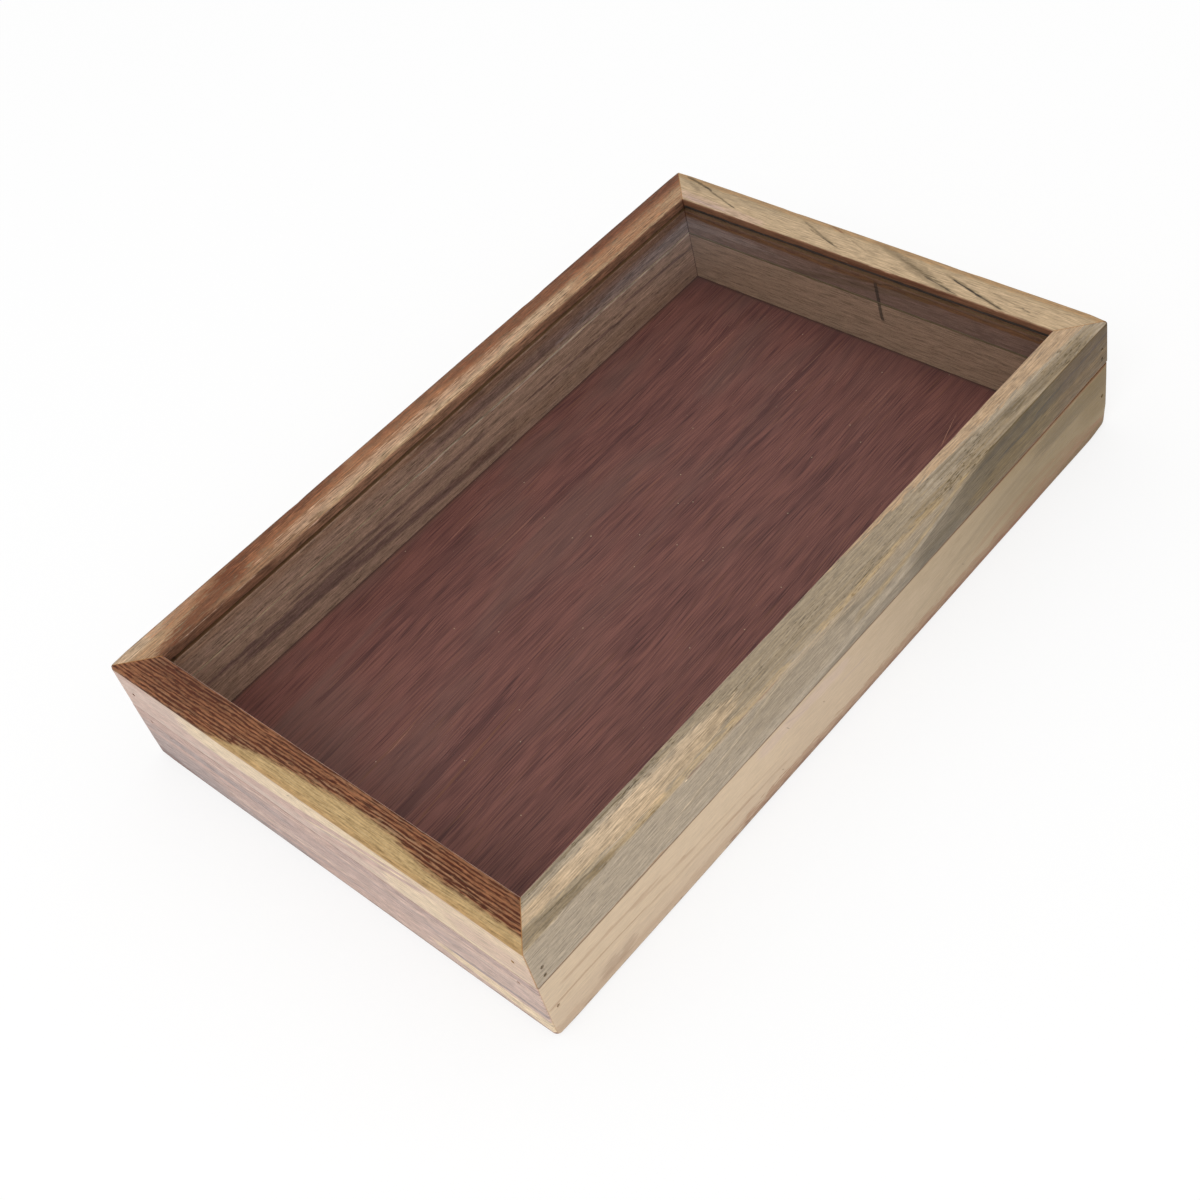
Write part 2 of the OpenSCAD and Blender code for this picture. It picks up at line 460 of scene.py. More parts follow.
def base_outline(sizes, wear, along):
    """Section of a base wall, in the same way, from the underside round by the outer face."""
    wall = BOX.wall
    high = wear.seam(along)
    foot = wear.foot(along)
    seam_round = sizes.seam_round * (1 + 0.4 * wear.waver(along, Waver.WALL_SEAM))
    inner = sizes.hidden_round
    tongue = wall - sizes.tongue
    bevel = sizes.tongue_bevel * (0.5 + 0.5 * wear.waver(along, Waver.BEVEL))
    ragged = 0.12 * MM * (1 + wear.waver(along, Waver.FLOOR_GROOVE, 4 * MM))
    groove = BOX.floor_high + sizes.floor_gap
    bottom = wall - sizes.groove_depth
    points = arc((foot, foot), foot, 270, 180, 9)
    points += straight((0, foot), (0, high), 4)
    points += arc((seam_round, high - seam_round), seam_round, 180, 90, 3)
    points += [(tongue, high), (tongue, BOX.tongue_top - bevel), (tongue + bevel, BOX.tongue_top)]
    points += [(wall - bevel, BOX.tongue_top), (wall, BOX.tongue_top - bevel)]
    points += [(wall, groove + ragged), (wall - inner, groove), (bottom, groove), (bottom, BOX.floor_low)]
    points += [(wall - inner, BOX.floor_low), (wall, BOX.floor_low - inner)]
    points += [(wall, inner), (wall - inner, 0)]
    return points


def stations(half, step):
    """Shares of the way from the middle of a board to its ends, closer together near the mitres."""
    near_end = [0, 0.12, 0.25, 0.4, 0.55, 0.75, 1.0, 1.4, 2.0, 2.8, 3.8]
    outer = [1 - distance * MM / half for distance in near_end]
    count = max(2, round(2 * half * outer[-1] / step))
    middle = [outer[-1] * (2 * index / count - 1) for index in range(1, count)]
    return [-share for share in outer] + middle + outer[::-1]


def board_mesh(name, side, outline, sizes):
    """A mitred board: its section swept along the side, and turned round the rounded upright corners."""
    wear = Wear(side)
    half = wear.half
    mesh = bmesh.new()
    rings = []
    for share in stations(half, sizes.station):
        ring = []
        for depth, height in outline(sizes, wear, share * half):
            upright = wear.upright(height, share)
            bend = max(0.0, upright - depth)
            mitre_depth = upright - bend / math.sqrt(2) if bend else depth
            along = share * (half - mitre_depth)
            past = min(max(0.0, abs(along) - (half - upright)), bend)
            bent = depth + bend - math.sqrt(bend * bend - past * past)
            ring.append(mesh.verts.new(in_frame(side, BOX.reach(side) - bent, along, height)))
        rings.append(ring)
    for ring, following in zip(rings, rings[1:]):
        for index in range(len(ring)):
            mesh.faces.new((ring[index], ring[index - 1], following[index - 1], following[index]))
    ends = [mesh.faces.new(rings[0]), mesh.faces.new(rings[-1][::-1])]
    bmesh.ops.triangulate(mesh, faces=ends)
    bmesh.ops.recalc_face_normals(mesh, faces=mesh.faces)
    made = bpy.data.meshes.new(name)
    mesh.to_mesh(made)
    mesh.free()
    return made


def brad_places(sizes, part):
    """Each brad of the lid or the base as (point on the wood's face, direction inwards)."""
    places = []
    if part == "lid":
        rises = {-1: sizes.front_brad_rise, 1: sizes.back_brad_rise}
        side_heights = [(end, BOX.seam + rise + step) for end, rise in rises.items()
                        for step in (0, sizes.brad_pair_gap)]
        front = BOX.seam + sizes.front_brad_rise + sizes.brad_pair_gap + sizes.end_brad_step
        end_heights = {-1: front, 1: BOX.seam + sizes.back_brad_rise + sizes.brad_pair_gap / 2}
        inset = sizes.lid_brad_inset
    else:
        side_heights = [(-1, sizes.front_brad_height), (1, sizes.back_brad_height)]
        end_heights = {end: BOX.seam - sizes.end_brad_drop for end in (-1, 1)}
        inset = sizes.base_brad_inset
    for hand in (-1, 1):
        for end, height in side_heights:
            point = Vector((hand * BOX.half_width, end * (BOX.half_length - sizes.side_brad_inset), height))
            places.append((point, Vector((-hand, 0, 0))))
        for end, height in end_heights.items():
            point = Vector((hand * (BOX.half_width - inset), end * BOX.half_length, height))
            places.append((point, Vector((0, -end, 0))))
    return places


def brad_holes(sizes, part):
    """A mesh of all the holes that the brads of one part have made, each torn a little along the grain."""
    head = sizes.brad_head
    # Depth below the wood's face, and half widths along and across the grain
    profile = (
        (-0.3 * MM, 1.2 * head, 1.05 * head),
        (0.25 * MM, 1.05 * head, head),
        (0.5 * MM, head, head),
        (sizes.brad_seat, head, head),
        (sizes.brad_seat, sizes.brad_shank, sizes.brad_shank),
        (sizes.brad_depth, sizes.brad_shank, sizes.brad_shank),
    )
    sides = 20
    mesh = bmesh.new()
    for point, inwards in brad_places(sizes, part):
        grain = Vector((0, 0, 1)).cross(inwards)
        rings = []
        for depth, along_radius, up_radius in profile:
            ring = []
            for index in range(sides):
                angle = math.tau * index / sides
                rise = Vector((0, 0, up_radius * math.sin(angle)))
                offset = grain * along_radius * math.cos(angle) + rise
                ring.append(mesh.verts.new(point + inwards * depth + offset))
            rings.append(ring)
        for ring, following in zip(rings, rings[1:]):
            for index in range(sides):
                mesh.faces.new((ring[index - 1], ring[index], following[index], following[index - 1]))
        mesh.faces.new(rings[0])
        mesh.faces.new(rings[-1])
    bmesh.ops.recalc_face_normals(mesh, faces=mesh.faces)
    made = bpy.data.meshes.new(part + "_brad_holes")
    mesh.to_mesh(made)
    mesh.free()
    return made


def add_object(name, mesh):
    piece = bpy.data.objects.new(name, mesh)
    bpy.context.scene.collection.objects.link(piece)
    return piece


def cut_away(piece, cutter_mesh):
    """Cuts a mesh out of a piece."""
    cutter = add_object("cutter", cutter_mesh)
    cut = piece.modifiers.new("Brad holes", "BOOLEAN")
    cut.operation = "DIFFERENCE"
    cut.solver = "MANIFOLD"
    cut.object = cutter
    depsgraph = bpy.context.evaluated_depsgraph_get()
    made = bpy.data.meshes.new_from_object(piece.evaluated_get(depsgraph))
    piece.modifiers.clear()
    whole = piece.data
    piece.data = made
    made.name = whole.name
    bpy.data.meshes.remove(whole)
    bpy.data.objects.remove(cutter)


def smooth(mesh):
    mesh.shade_smooth()
    mesh.set_sharp_from_angle(angle=SHARP_FROM)


class Reading:
    """A number that varies over a surface. Arithmetic on it adds the nodes that work it out."""

    def __init__(self, shader, socket):
        self.shader = shader
        self.socket = socket

    def math(self, operation, *others, first=None):
        values = (self, *others) if first is None else (first, self)
        node = self.shader.put("ShaderNodeMath", enumerate(values), operation=operation)
        return Reading(self.shader, node.outputs[0])

    def __add__(self, other):
        return self.math("ADD", other)

    def __radd__(self, other):
        return self.math("ADD", other)

    def __sub__(self, other):
        return self.math("SUBTRACT", other)

    def __rsub__(self, other):
        return self.math("SUBTRACT", first=other)

    def __mul__(self, other):
        return self.math("MULTIPLY", other)

    def __truediv__(self, other):
        return self.math("DIVIDE", other)

    def __abs__(self):
        return self.math("ABSOLUTE")

    def rise(self, low, high):
        """0 up to low, 1 from high on, and smooth between them. High may be the lower one."""
        inputs = {"Value": self, "From Min": low, "From Max": high}
        node = self.shader.put("ShaderNodeMapRange", inputs, interpolation_type="SMOOTHSTEP")
        return Reading(self.shader, node.outputs[0])


class Shader:
    """One node tree in the making."""

    def __init__(self, tree):
        self.nodes = tree.nodes
        self.links = tree.links

    def feed(self, socket, value):
        if isinstance(value, Reading):
            value = value.socket
        if isinstance(value, bpy.types.NodeSocket):
            self.links.new(value, socket)
        elif socket.type == "RGBA":
            socket.default_value = (*value[:3], 1)
        else:
            socket.default_value = value

    def put(self, kind, inputs=(), **settings):
        """Adds a node, sets its properties, and sets or links its inputs."""
        node = self.nodes.new(kind)
        for name, value in settings.items():
            setattr(node, name, value)
        for key, value in dict(inputs).items():
            self.feed(node.inputs[key], value)
        return node

    def point(self, x, y, z):
        return self.put("ShaderNodeCombineXYZ", {0: x, 1: y, 2: z}).outputs[0]

    def split(self, vector):
        node = self.put("ShaderNodeSeparateXYZ", {0: vector})
        return [Reading(self, output) for output in node.outputs]

    def noise(self, x, y=0.0, z=0.0, detail=2.0, roughness=0.5):
        """Noise from 0 to 1, with one cell per unit."""
        inputs = {"Vector": self.point(x, y, z), "Scale": 1.0, "Detail": detail, "Roughness": roughness}
        return Reading(self, self.put("ShaderNodeTexNoise", inputs).outputs[0])

    def line_noise(self, place, detail=2.0, roughness=0.5):
        """Noise that varies along one number only."""
        inputs = {"W": place, "Scale": 1.0, "Detail": detail, "Roughness": roughness}
        return Reading(self, self.put("ShaderNodeTexNoise", inputs, noise_dimensions="1D").outputs[0])

    def mix(self, share, first, second):
        inputs = {0: share, 6: first, 7: second}
        return self.put("ShaderNodeMix", inputs, data_type="RGBA").outputs[2]

    def shade(self, colour, share):
        """A colour made lighter or darker by a factor."""
        return self.put("ShaderNodeVectorMath", {0: colour, "Scale": share}, operation="SCALE").outputs[0]

    def curve(self, place, points):
        """A smooth curve through a few given points, read at a place. Both run from 0 to 1."""
        node = self.put("ShaderNodeFloatCurve", {"Value": place})
        line = node.mapping.curves[0]
        line.points[0].location = points[0]
        line.points[1].location = points[-1]
        for middle in points[1:-1]:
            line.points.new(*middle)
        node.mapping.update()
        return Reading(self, node.outputs[0])


def streak_group():
    """Node group that gives the share of a streak at a place: a band with tapering ends and torn edges."""
    tree = bpy.data.node_groups.get("Streak")
    if tree:
        return tree
    tree = bpy.data.node_groups.new("Streak", "ShaderNodeTree")
    names = ("Along", "Across", "Torn", "Start", "End", "First Place", "Last Place", "Bow",
             "First Width", "Last Width", "Soft", "Taper")
    for name in names:
        tree.interface.new_socket(name=name, in_out="INPUT", socket_type="NodeSocketFloat")
    tree.interface.new_socket(name="Share", in_out="OUTPUT", socket_type="NodeSocketFloat")
    shader = Shader(tree)
    given = shader.put("NodeGroupInput")
    value = {name: Reading(shader, given.outputs[name]) for name in names}
    share = (value["Along"] - value["Start"]) / (value["End"] - value["Start"])
    share = share.math("MAXIMUM", 0.0).math("MINIMUM", 1.0)
    place = value["First Place"] + (value["Last Place"] - value["First Place"]) * share
    place = place + value["Bow"] * 4.0 * share * (1.0 - share)
    half = (value["First Width"] + (value["Last Width"] - value["First Width"]) * share) * 0.5
    near = abs(value["Across"] - place)
    band = near.rise(half + value["Soft"] * 0.5, half - value["Soft"] * 0.5)
    begins = value["Along"].rise(value["Start"] - value["Taper"], value["Start"] + value["Taper"])
    ends = value["Along"].rise(value["End"] + value["Taper"], value["End"] - value["Taper"])
    whole = band * begins * ends
    torn = (whole + value["Torn"] * whole.rise(0.0, 0.35)).rise(0.24, 0.76)
    out = shader.put("NodeGroupOutput")
    shader.feed(out.inputs[0], torn)
    return tree


class Streak(NamedTuple):
    """A band of another colour in the grain, in mm.

    Along is where it starts and ends, across and width are its place and its width at those two ends, or one
    number for both, and bow is how far its middle is off the straight line. Soft is the blur of its edges,
    ragged how torn they are, and taper the length over which its ends fade. Share is how much of the colour
    there is.
    """

    colour: str
    along: tuple
    across: tuple | float
    width: tuple | float
    share: float = 1.0
    soft: float = 1.0
    ragged: float = 1.0
    taper: float = 5.0
    bow: float = 0.0


class Ground(NamedTuple):
    """The plain grain of a face: two colours in lines, and two more that it turns to along the board.

    Pitch is the distance of the lines and drift how far they wander, in mm, slope is their rise along the
    board, and dash is the colour of the short marks, with dashes as their strength.
    """

    light: str
    dark: str
    pitch: float = 3.0
    slope: float = 0.0
    drift: float = 2.0
    contrast: float = 0.6
    far_light: str = ""
    far_dark: str = ""
    turns: tuple = (0.0, 1.0)
    dash: str = "slate"
    dashes: float = 0.3


class Face(NamedTuple):
    ground: Ground
    streaks: tuple


def face(ground, *streaks):
    """How one face of a board looks: its plain grain, and the streaks that lie over it in this order."""
    return Face(ground, streaks)


class Place:
    """Where a point of a board's surface lies: along it, in from its outer face and down from its top, in mm.

    It also holds the noises that the grain is made of: slow for wavering, fine and fibre for the grain,
    pores and mottle for its finest marks, and patches for what gathers in some places.
    """

    def __init__(self, shader, part, side, seed):
        coordinates = shader.put("ShaderNodeTexCoord")
        x, y, z = shader.split(coordinates.outputs["Object"])
        lengthways, sideways = (y, x) if side in ("right", "left") else (x, y)
        hand = 1 if side in ("right", "back") else -1
        self.shader = shader
        self.along = (lengthways + BOX.half_span(side)) * (1 / MM)
        self.depth = (BOX.reach(side) - sideways * hand) * (1 / MM)
        self.height = z * (1 / MM)
        self.down = (BOX.top if part == "lid" else BOX.seam) / MM - self.height
        self.length = 2 * BOX.half_span(side) / MM
        nx, ny, nz = shader.split(coordinates.outputs["Normal"])
        self.upward = nz
        self.inward = (nx if side in ("right", "left") else ny) * -hand
        self.seed = seed
        self.slow = self.stretched(0.02, 0.12, detail=2.0) - 0.5
        self.fine = self.stretched(0.14, 1.2, detail=3.0, roughness=0.6) - 0.5
        self.fibre = self.stretched(0.14, 1.9, offset=13.0, detail=1.0, roughness=0.8) - 0.5
        self.pores = self.stretched(0.35, 2.6, offset=31.0, detail=1.0, roughness=0.6)
        self.mottle = self.stretched(0.9, 1.3, offset=61.0, detail=1.0, roughness=0.7) - 0.5
        self.patches = self.stretched(0.03, 0.2, offset=47.0, detail=2.0) - 0.5

    def stretched(self, along, across, offset=0.0, detail=2.0, roughness=0.5):
        """Noise drawn out along the grain: its cells per mm along and across it."""
        along_place = self.along * along + (self.seed + offset)
        return self.shader.noise(along_place, self.depth * across, self.down * across, detail, roughness)

    def mitre(self):
        """How far a place is from the nearer mitre, in mm."""
        to_end = (self.along - self.length / 2).math("ABSOLUTE")
        return abs(self.length / 2 - to_end - self.depth)

    def seam(self, wear):
        """How far a place is from the outer seam, in mm."""
        share = self.along / self.length
        if wear.side in ("back", "left"):
            share = 1.0 - share
        low, high = (end.seam_rise for end in wear.ends)
        dip = share * (1.0 - share) * (4 * SEAM_DIP[wear.side])
        return abs(self.height - (BOX.seam / MM + low) - share * (high - low) + dip)


def ground_colour(shader, place, across, ground, colours):
    """The plain grain of a face: lines, and short dark dashes that gather in patches."""
    drift = place.stretched(0.008, 0.06, offset=5.0, detail=2.0) - 0.5
    ring = (across + place.along * ground.slope) / ground.pitch + drift * ground.drift * 2.0
    lines = shader.line_noise(ring + place.seed, detail=3.0, roughness=0.8)
    streaky = (place.fibre + place.fine * 0.7) * (0.2 + ground.contrast * 1.3)
    share = lines.rise(0.28, 0.72) * ground.contrast + streaky * 1.1
    light, dark = (colours[name] for name in (ground.light, ground.dark))
    if ground.far_light:
        turned = (place.along + place.slow * 60).rise(*ground.turns)
        light = shader.mix(turned, light, colours[ground.far_light])
        dark = shader.mix(turned, dark, colours[ground.far_dark])
    colour = shader.mix(share.math("MAXIMUM", 0.0), light, dark)
    dash = (place.pores + place.patches * 0.8).rise(0.6, 0.76)
    return shader.mix(dash * ground.dashes, colour, colours[ground.dash])


def at_ends(value):
    """What a streak says of its two ends, which may be one number for both."""
    return value if isinstance(value, tuple) else (value, value)


def streaked(shader, place, across, colour, streaks, colours):
    """Lays the streaks over a colour one after the other."""
    wavering = across + place.slow * 1.6
    for streak in streaks:
        first_place, last_place = at_ends(streak.across)
        first_width, last_width = at_ends(streak.width)
        inputs = {
            "Along": place.along,
            "Across": wavering + place.fine * (1.6 * streak.ragged),
            "Torn": (place.fibre + place.fine * 0.6) * (1.1 * streak.ragged),
            "Start": streak.along[0],
            "End": streak.along[1],
            "First Place": first_place,
            "Last Place": last_place,
            "Bow": streak.bow,
            "First Width": first_width,
            "Last Width": last_width,
            "Soft": streak.soft,
            "Taper": streak.taper,
        }
        group = shader.put("ShaderNodeGroup", node_tree=streak_group())
        for name, value in inputs.items():
            shader.feed(group.inputs[name], value)
        share = Reading(shader, group.outputs[0]) * streak.share
        colour = shader.mix(share, colour, colours[streak.colour])
    return colour


def face_colour(shader, place, across, face, colours):
    colour = ground_colour(shader, place, across, face.ground, colours)
    return streaked(shader, place, across, colour, face.streaks, colours)


# Pitch of the heartwood's stripes and of the sapwood's fine lines, in mm
STRIPE_PITCH = 1.26
LINE_PITCH = 1.1

# How much of the front rail's width is heartwood, from the opening out, at shares of the rail's length
HEARTWOOD_EDGE = (
    (0.0, 1.0), (0.2, 1.0), (0.26, 0.94), (0.32, 0.8), (0.36, 0.69), (0.4, 0.61), (0.46, 0.54),
    (0.52, 0.48), (0.6, 0.41), (0.67, 0.43), (0.73, 0.54), (0.8, 0.65), (0.86, 0.66), (0.95, 0.66),
    (1.0, 0.66),
)


def striped_heartwood(shader, place, colours):
    """Top of the front rail: wavy dashed stripes of brown heartwood beside straw-coloured sapwood."""
    from_inner = BOX.wall / MM - place.depth
    wave = place.stretched(0.06, 0.4, offset=11.0, detail=2.0) - 0.5
    stripe = (from_inner + place.along * 0.01 + wave * 2.0) / STRIPE_PITCH
    saw = (stripe * math.tau).math("SINE") * 0.5 + 0.5
    dash = place.stretched(0.22, 1.5, offset=17.0, detail=3.0, roughness=0.6) - 0.5
    late = (saw * 0.8 + dash * 2.3 + place.fibre * 2.4 + place.patches * 1.0).rise(0.06, 0.76)
    near_end = place.along.rise(8.0, 24.0) * place.along.rise(62.0, 44.0) * place.depth.rise(1.0, 9.0)
    past_middle = place.along.rise(140.0, 152.0) * place.along.rise(186.0, 172.0)
    at_opening = place.depth.rise(7.0, 11.0) * place.along.rise(116.0, 96.0)
    darker = near_end * 0.22 + past_middle * 0.04 + at_opening * 0.1
    late = (late + darker).math("MINIMUM", 1.0)
    brown = shader.mix(late, colours["russet"], colours["umber"])
    palest = place.along.rise(88.0, 118.0) * place.along.rise(164.0, 138.0)
    pale = (place.patches + dash * 0.5).rise(-0.04, 0.2) * (palest * 0.6 + 0.32)
    brown = shader.mix(pale * (1.0 - late), brown, colours["biscuit"])
    fine_line = ((from_inner + wave) * (math.tau / LINE_PITCH)).math("SINE") * 0.5 + 0.5
    sapwood_share = (fine_line * 0.3 + place.fibre * 1.6 + 0.1).math("MAXIMUM", 0.0)
    sapwood = shader.mix(sapwood_share, colours["straw"], colours["flax"])
    sapwood = shader.mix((from_inner + place.fine * 3.0).rise(11.0, 15.0) * 0.4, sapwood, colours["honey"])
    edge = shader.curve(place.along / place.length, HEARTWOOD_EDGE)
    border = edge * (BOX.wall / MM + 0.6) - from_inner + dash * 3.4 + place.fibre * 3.0
    return shader.mix(border.rise(-1.5, 1.0), sapwood, brown)


class Board(NamedTuple):
    """How one board of a frame looks. Its faces are measured in mm from the box's front or left end.

    The top of a base board is its ledge under the lid, and a top that is None is the striped heartwood.
    The top's colours begin where the surface's normal points up by top_wraps. Grain is the contrast of the
    finest grain, and outer_grain takes its place on the outer face where it isn't 0.
    """

    seed: float
    top: Face | None
    outer: Face
    inner: Face
    top_wraps: float = 0.62
    seam_dirt_and_shade: float = 0.35
    grain: float = 1.4
    outer_grain: float = 0.0


PLAIN_INSIDE = face(Ground("wall", "wall_dark", pitch=3.4, contrast=0.5, dash="wall_dark"))

LID_RIGHT = Board(
    seed=3.7,
    top=face(
        Ground("grey", "sage", pitch=2.2, slope=0.03, contrast=0.8, dashes=0.8),
        Streak("sage", (70, 206), (10, 8), (16, 14), 0.5, soft=6, ragged=1.2, taper=24),
        Streak("tan", (4, 66), (8.2, 5.6), (3.5, 9), 0.75, soft=3.0, ragged=1.1),
        Streak("tan", (52, 104), (6.0, 6.2), (8, 6), 0.6, soft=4, taper=14, ragged=1.1),
        Streak("peach", (30, 96), (8.6, 9.0), (6, 4), 0.25, soft=4, taper=12, ragged=1.2),
        Streak("straw", (30, 128), (1.4, 0.4), (2.0, 2.4), 0.35, soft=2.4, ragged=1.6),
        Streak("straw", (140, 208), (0.8, 0.6), (1.6, 3.0), 0.35, soft=2.4, ragged=1.6),
        Streak("flax", (0, 40), (3.4, 2.0), (6, 4), 0.35, soft=3, ragged=1.6),
        Streak("slate", (10, 76), (13.6, 12.8), (2.6, 1.8), 0.3, soft=2, ragged=2.0),
        Streak("slate", (0, 44), (3.4, 0.6), (4.6, 1.2), 0.35, soft=1.6, ragged=1.8),
        Streak("slate", (10, 38), (3.6, 1.8), 0.7, 0.4, ragged=1.4),
        Streak("slate", (18, 62), (12.6, 12.0), 0.6, 0.36, soft=0.9, ragged=1.4),
        Streak("apricot", (160, 310), (14.2, 10.4), (1.4, 9.5), 0.68, soft=4, ragged=1.6, taper=14),
        Streak("olive", (196, 304), (2.2, 2.6), (5, 6), 0.3, soft=3, ragged=1.8, taper=12),
        Streak("slate", (206, 240), (9.6, 8.4), (1.2, 1.4), 0.4, soft=1.6, ragged=2.0),
        Streak("slate", (214, 262), (7.2, 4.2), (1.6, 3.4), 0.35, soft=2.4, ragged=2.0),
        Streak("slate", (250, 298), (4.6, 1.6), (2.6, 3.6), 0.35, soft=2.4, ragged=2.0),
    ),
    outer=face(
        Ground("grey", "sage", pitch=1.8, slope=0.012, contrast=0.4, dashes=0.2,
               far_light="olive", far_dark="slate", turns=(176, 262)),
        Streak("sage", (100, 205), (9, 5), 14, 0.4, soft=6, ragged=1.4, taper=24),
        Streak("tan", (60, 214), (-0.4, 0.4), (1.6, 8), 0.3, soft=4, taper=14),
        Streak("flax", (158, 226), (11.0, -1.0), (4.4, 2.6), 0.6, soft=2.0, ragged=0.8, bow=1.6),
        Streak("straw", (164, 224), (10.4, -0.4), 1.6, 0.35, soft=1.6, ragged=0.8, bow=1.6),
        Streak("slate", (132, 214), (19.6, 16.8), (1.6, 8), 0.42, soft=3, ragged=0.8, taper=20),
        Streak("slate", (190, 330), (15.4, 4.4), (10, 53), 0.6, soft=1.4, ragged=0.5, taper=20, bow=0.8),
        Streak("sage", (146, 214), (2.6, 3.0), (3, 6), 0.4, soft=3, ragged=1.4, taper=14),
        Streak("cream", (58, 122), (14.0, 2.2), 0.8, 0.25, soft=0.9),
        Streak("sage", (70, 128), (12.8, 2.8), (1.0, 1.4), 0.4, soft=1.4, ragged=0.8),
        Streak("slate", (150, 178), (4.2, 7.0), (2.2, 1.6), 0.35, soft=2, ragged=1.6),
        Streak("ink", (226, 268), (4.4, 2.0), (2.6, 3.0), 0.35, soft=2.0, ragged=2.0, taper=8),
        Streak("ink", (240, 312), (9.0, 11.0), (1.0, 1.2), 0.6, soft=1.2, ragged=1.6, taper=6),
        Streak("ink", (238, 300), (12.6, 12.8), (0.7, 0.9), 0.6, soft=0.9, ragged=1.6),
        Streak("ink", (234, 306), (15.4, 16.0), (0.7, 0.8), 0.6, soft=0.9, ragged=1.6),
        Streak("ink", (262, 314), (7.4, 4.4), (1.2, 1.0), 0.6, soft=1.2, ragged=1.4),
        Streak("ink", (270, 310), (14.2, 14.4), (1.2, 0.9), 0.6, soft=1.2, ragged=1.6, taper=4),
        Streak("straw", (272, 314), (12.4, 11.6), (2.6, 3.4), 0.2, soft=3, ragged=1.8, taper=14),
        Streak("olive", (226, 320), (15.4, 12.6), (7, 13), 0.6, soft=4, ragged=1.4, taper=18),
        Streak("umber", (276, 325), 11, 24, 0.22, soft=6, ragged=1.2, taper=18),
        Streak("ink", (258, 312), (8.6, 9.4), (2.2, 2.6), 0.3, soft=2.4, ragged=2.0, taper=12),
        Streak("umber", (220, 306), (19.4, 18.4), (0.8, 1.0), 0.5, soft=0.9, ragged=0.9),
        Streak("honey", (2, 62), (19.8, 19.7), (0.9, 0.6), 0.5, soft=0.9),
        Streak("rust", (74, 84), (0.6, 0.9), (0.9, 0.5), 0.45, soft=0.8, taper=2),
        Streak("rust", (94, 120), 0.2, (1.2, 1.0), 0.4, ragged=1.6),
        Streak("cream", (73, 74), 0.9, 0.6, 1.0, soft=0.5, taper=0.4, ragged=0.2),
    ),
    inner=PLAIN_INSIDE,
    seam_dirt_and_shade=0.6,
    grain=1.5,
)

LID_FRONT = Board(
    seed=11.3,
    top=None,
    outer=face(
        Ground("blush", "rose", pitch=2.6, slope=-0.06, contrast=0.55, dash="mauve", dashes=0.35,
               far_light="cream", far_dark="rose", turns=(105, 170)),
        Streak("cream", (38, 152), (6.4, 3.4), (11, 8), 0.88, soft=3.5, taper=14, bow=0.4),
        Streak("rose", (0, 46), (15, 13), (8, 6), 0.5, soft=5, taper=14, ragged=1.6),
        Streak("rose", (-8, 22), 2, (5, 4), 0.9, soft=3, ragged=1.4, taper=8),
        Streak("rose", (46, 108), (15.6, 11.0), (5, 4.4), 0.85, soft=2.6, taper=14, ragged=1.3),
        Streak("rose", (86, 152), (12.0, 3.6), (3.4, 1.8), 0.95, soft=1.8, ragged=0.8, taper=8),
        Streak("rose", (104, 158), (17.0, 5.0), (3.6, 1.8), 0.95, soft=1.6, ragged=0.8, taper=6),
        Streak("mauve", (104, 142), (13.4, 7.2), (1.2, 1.0), 0.4, soft=1.2, ragged=0.8, taper=6),
        Streak("cream", (98, 128), (13.8, 8.6), (1.0, 0.9), 0.7, soft=0.9, ragged=0.6),
        Streak("cream", (136, 170), (15, 12), (9, 12), 0.6, soft=3),
        Streak("rose", (164, 204), (12, 13), (9, 10), 0.45, soft=4, ragged=1.4, taper=8),
        # Painted highlight: a thin light line just under the upper outer arris.
        Streak("cream", (-4, 204), 1.1, 0.8, 0.6, soft=0.8, ragged=0.6),
        Streak("rust", (-4, 34), (0.4, 0.2), (1.8, 1.2), 0.8),
        Streak("honey", (24, 204), 0.2, 1.6, 0.5, soft=1.2),
        Streak("ink", (93.2, 95.2), (5.0, 3.4), 0.6, 0.4, soft=0.6, taper=0.4, ragged=0.2),
    ),
    inner=PLAIN_INSIDE,
    top_wraps=0.12,
    seam_dirt_and_shade=0.2,
    grain=1.9,
    outer_grain=1.2,
)

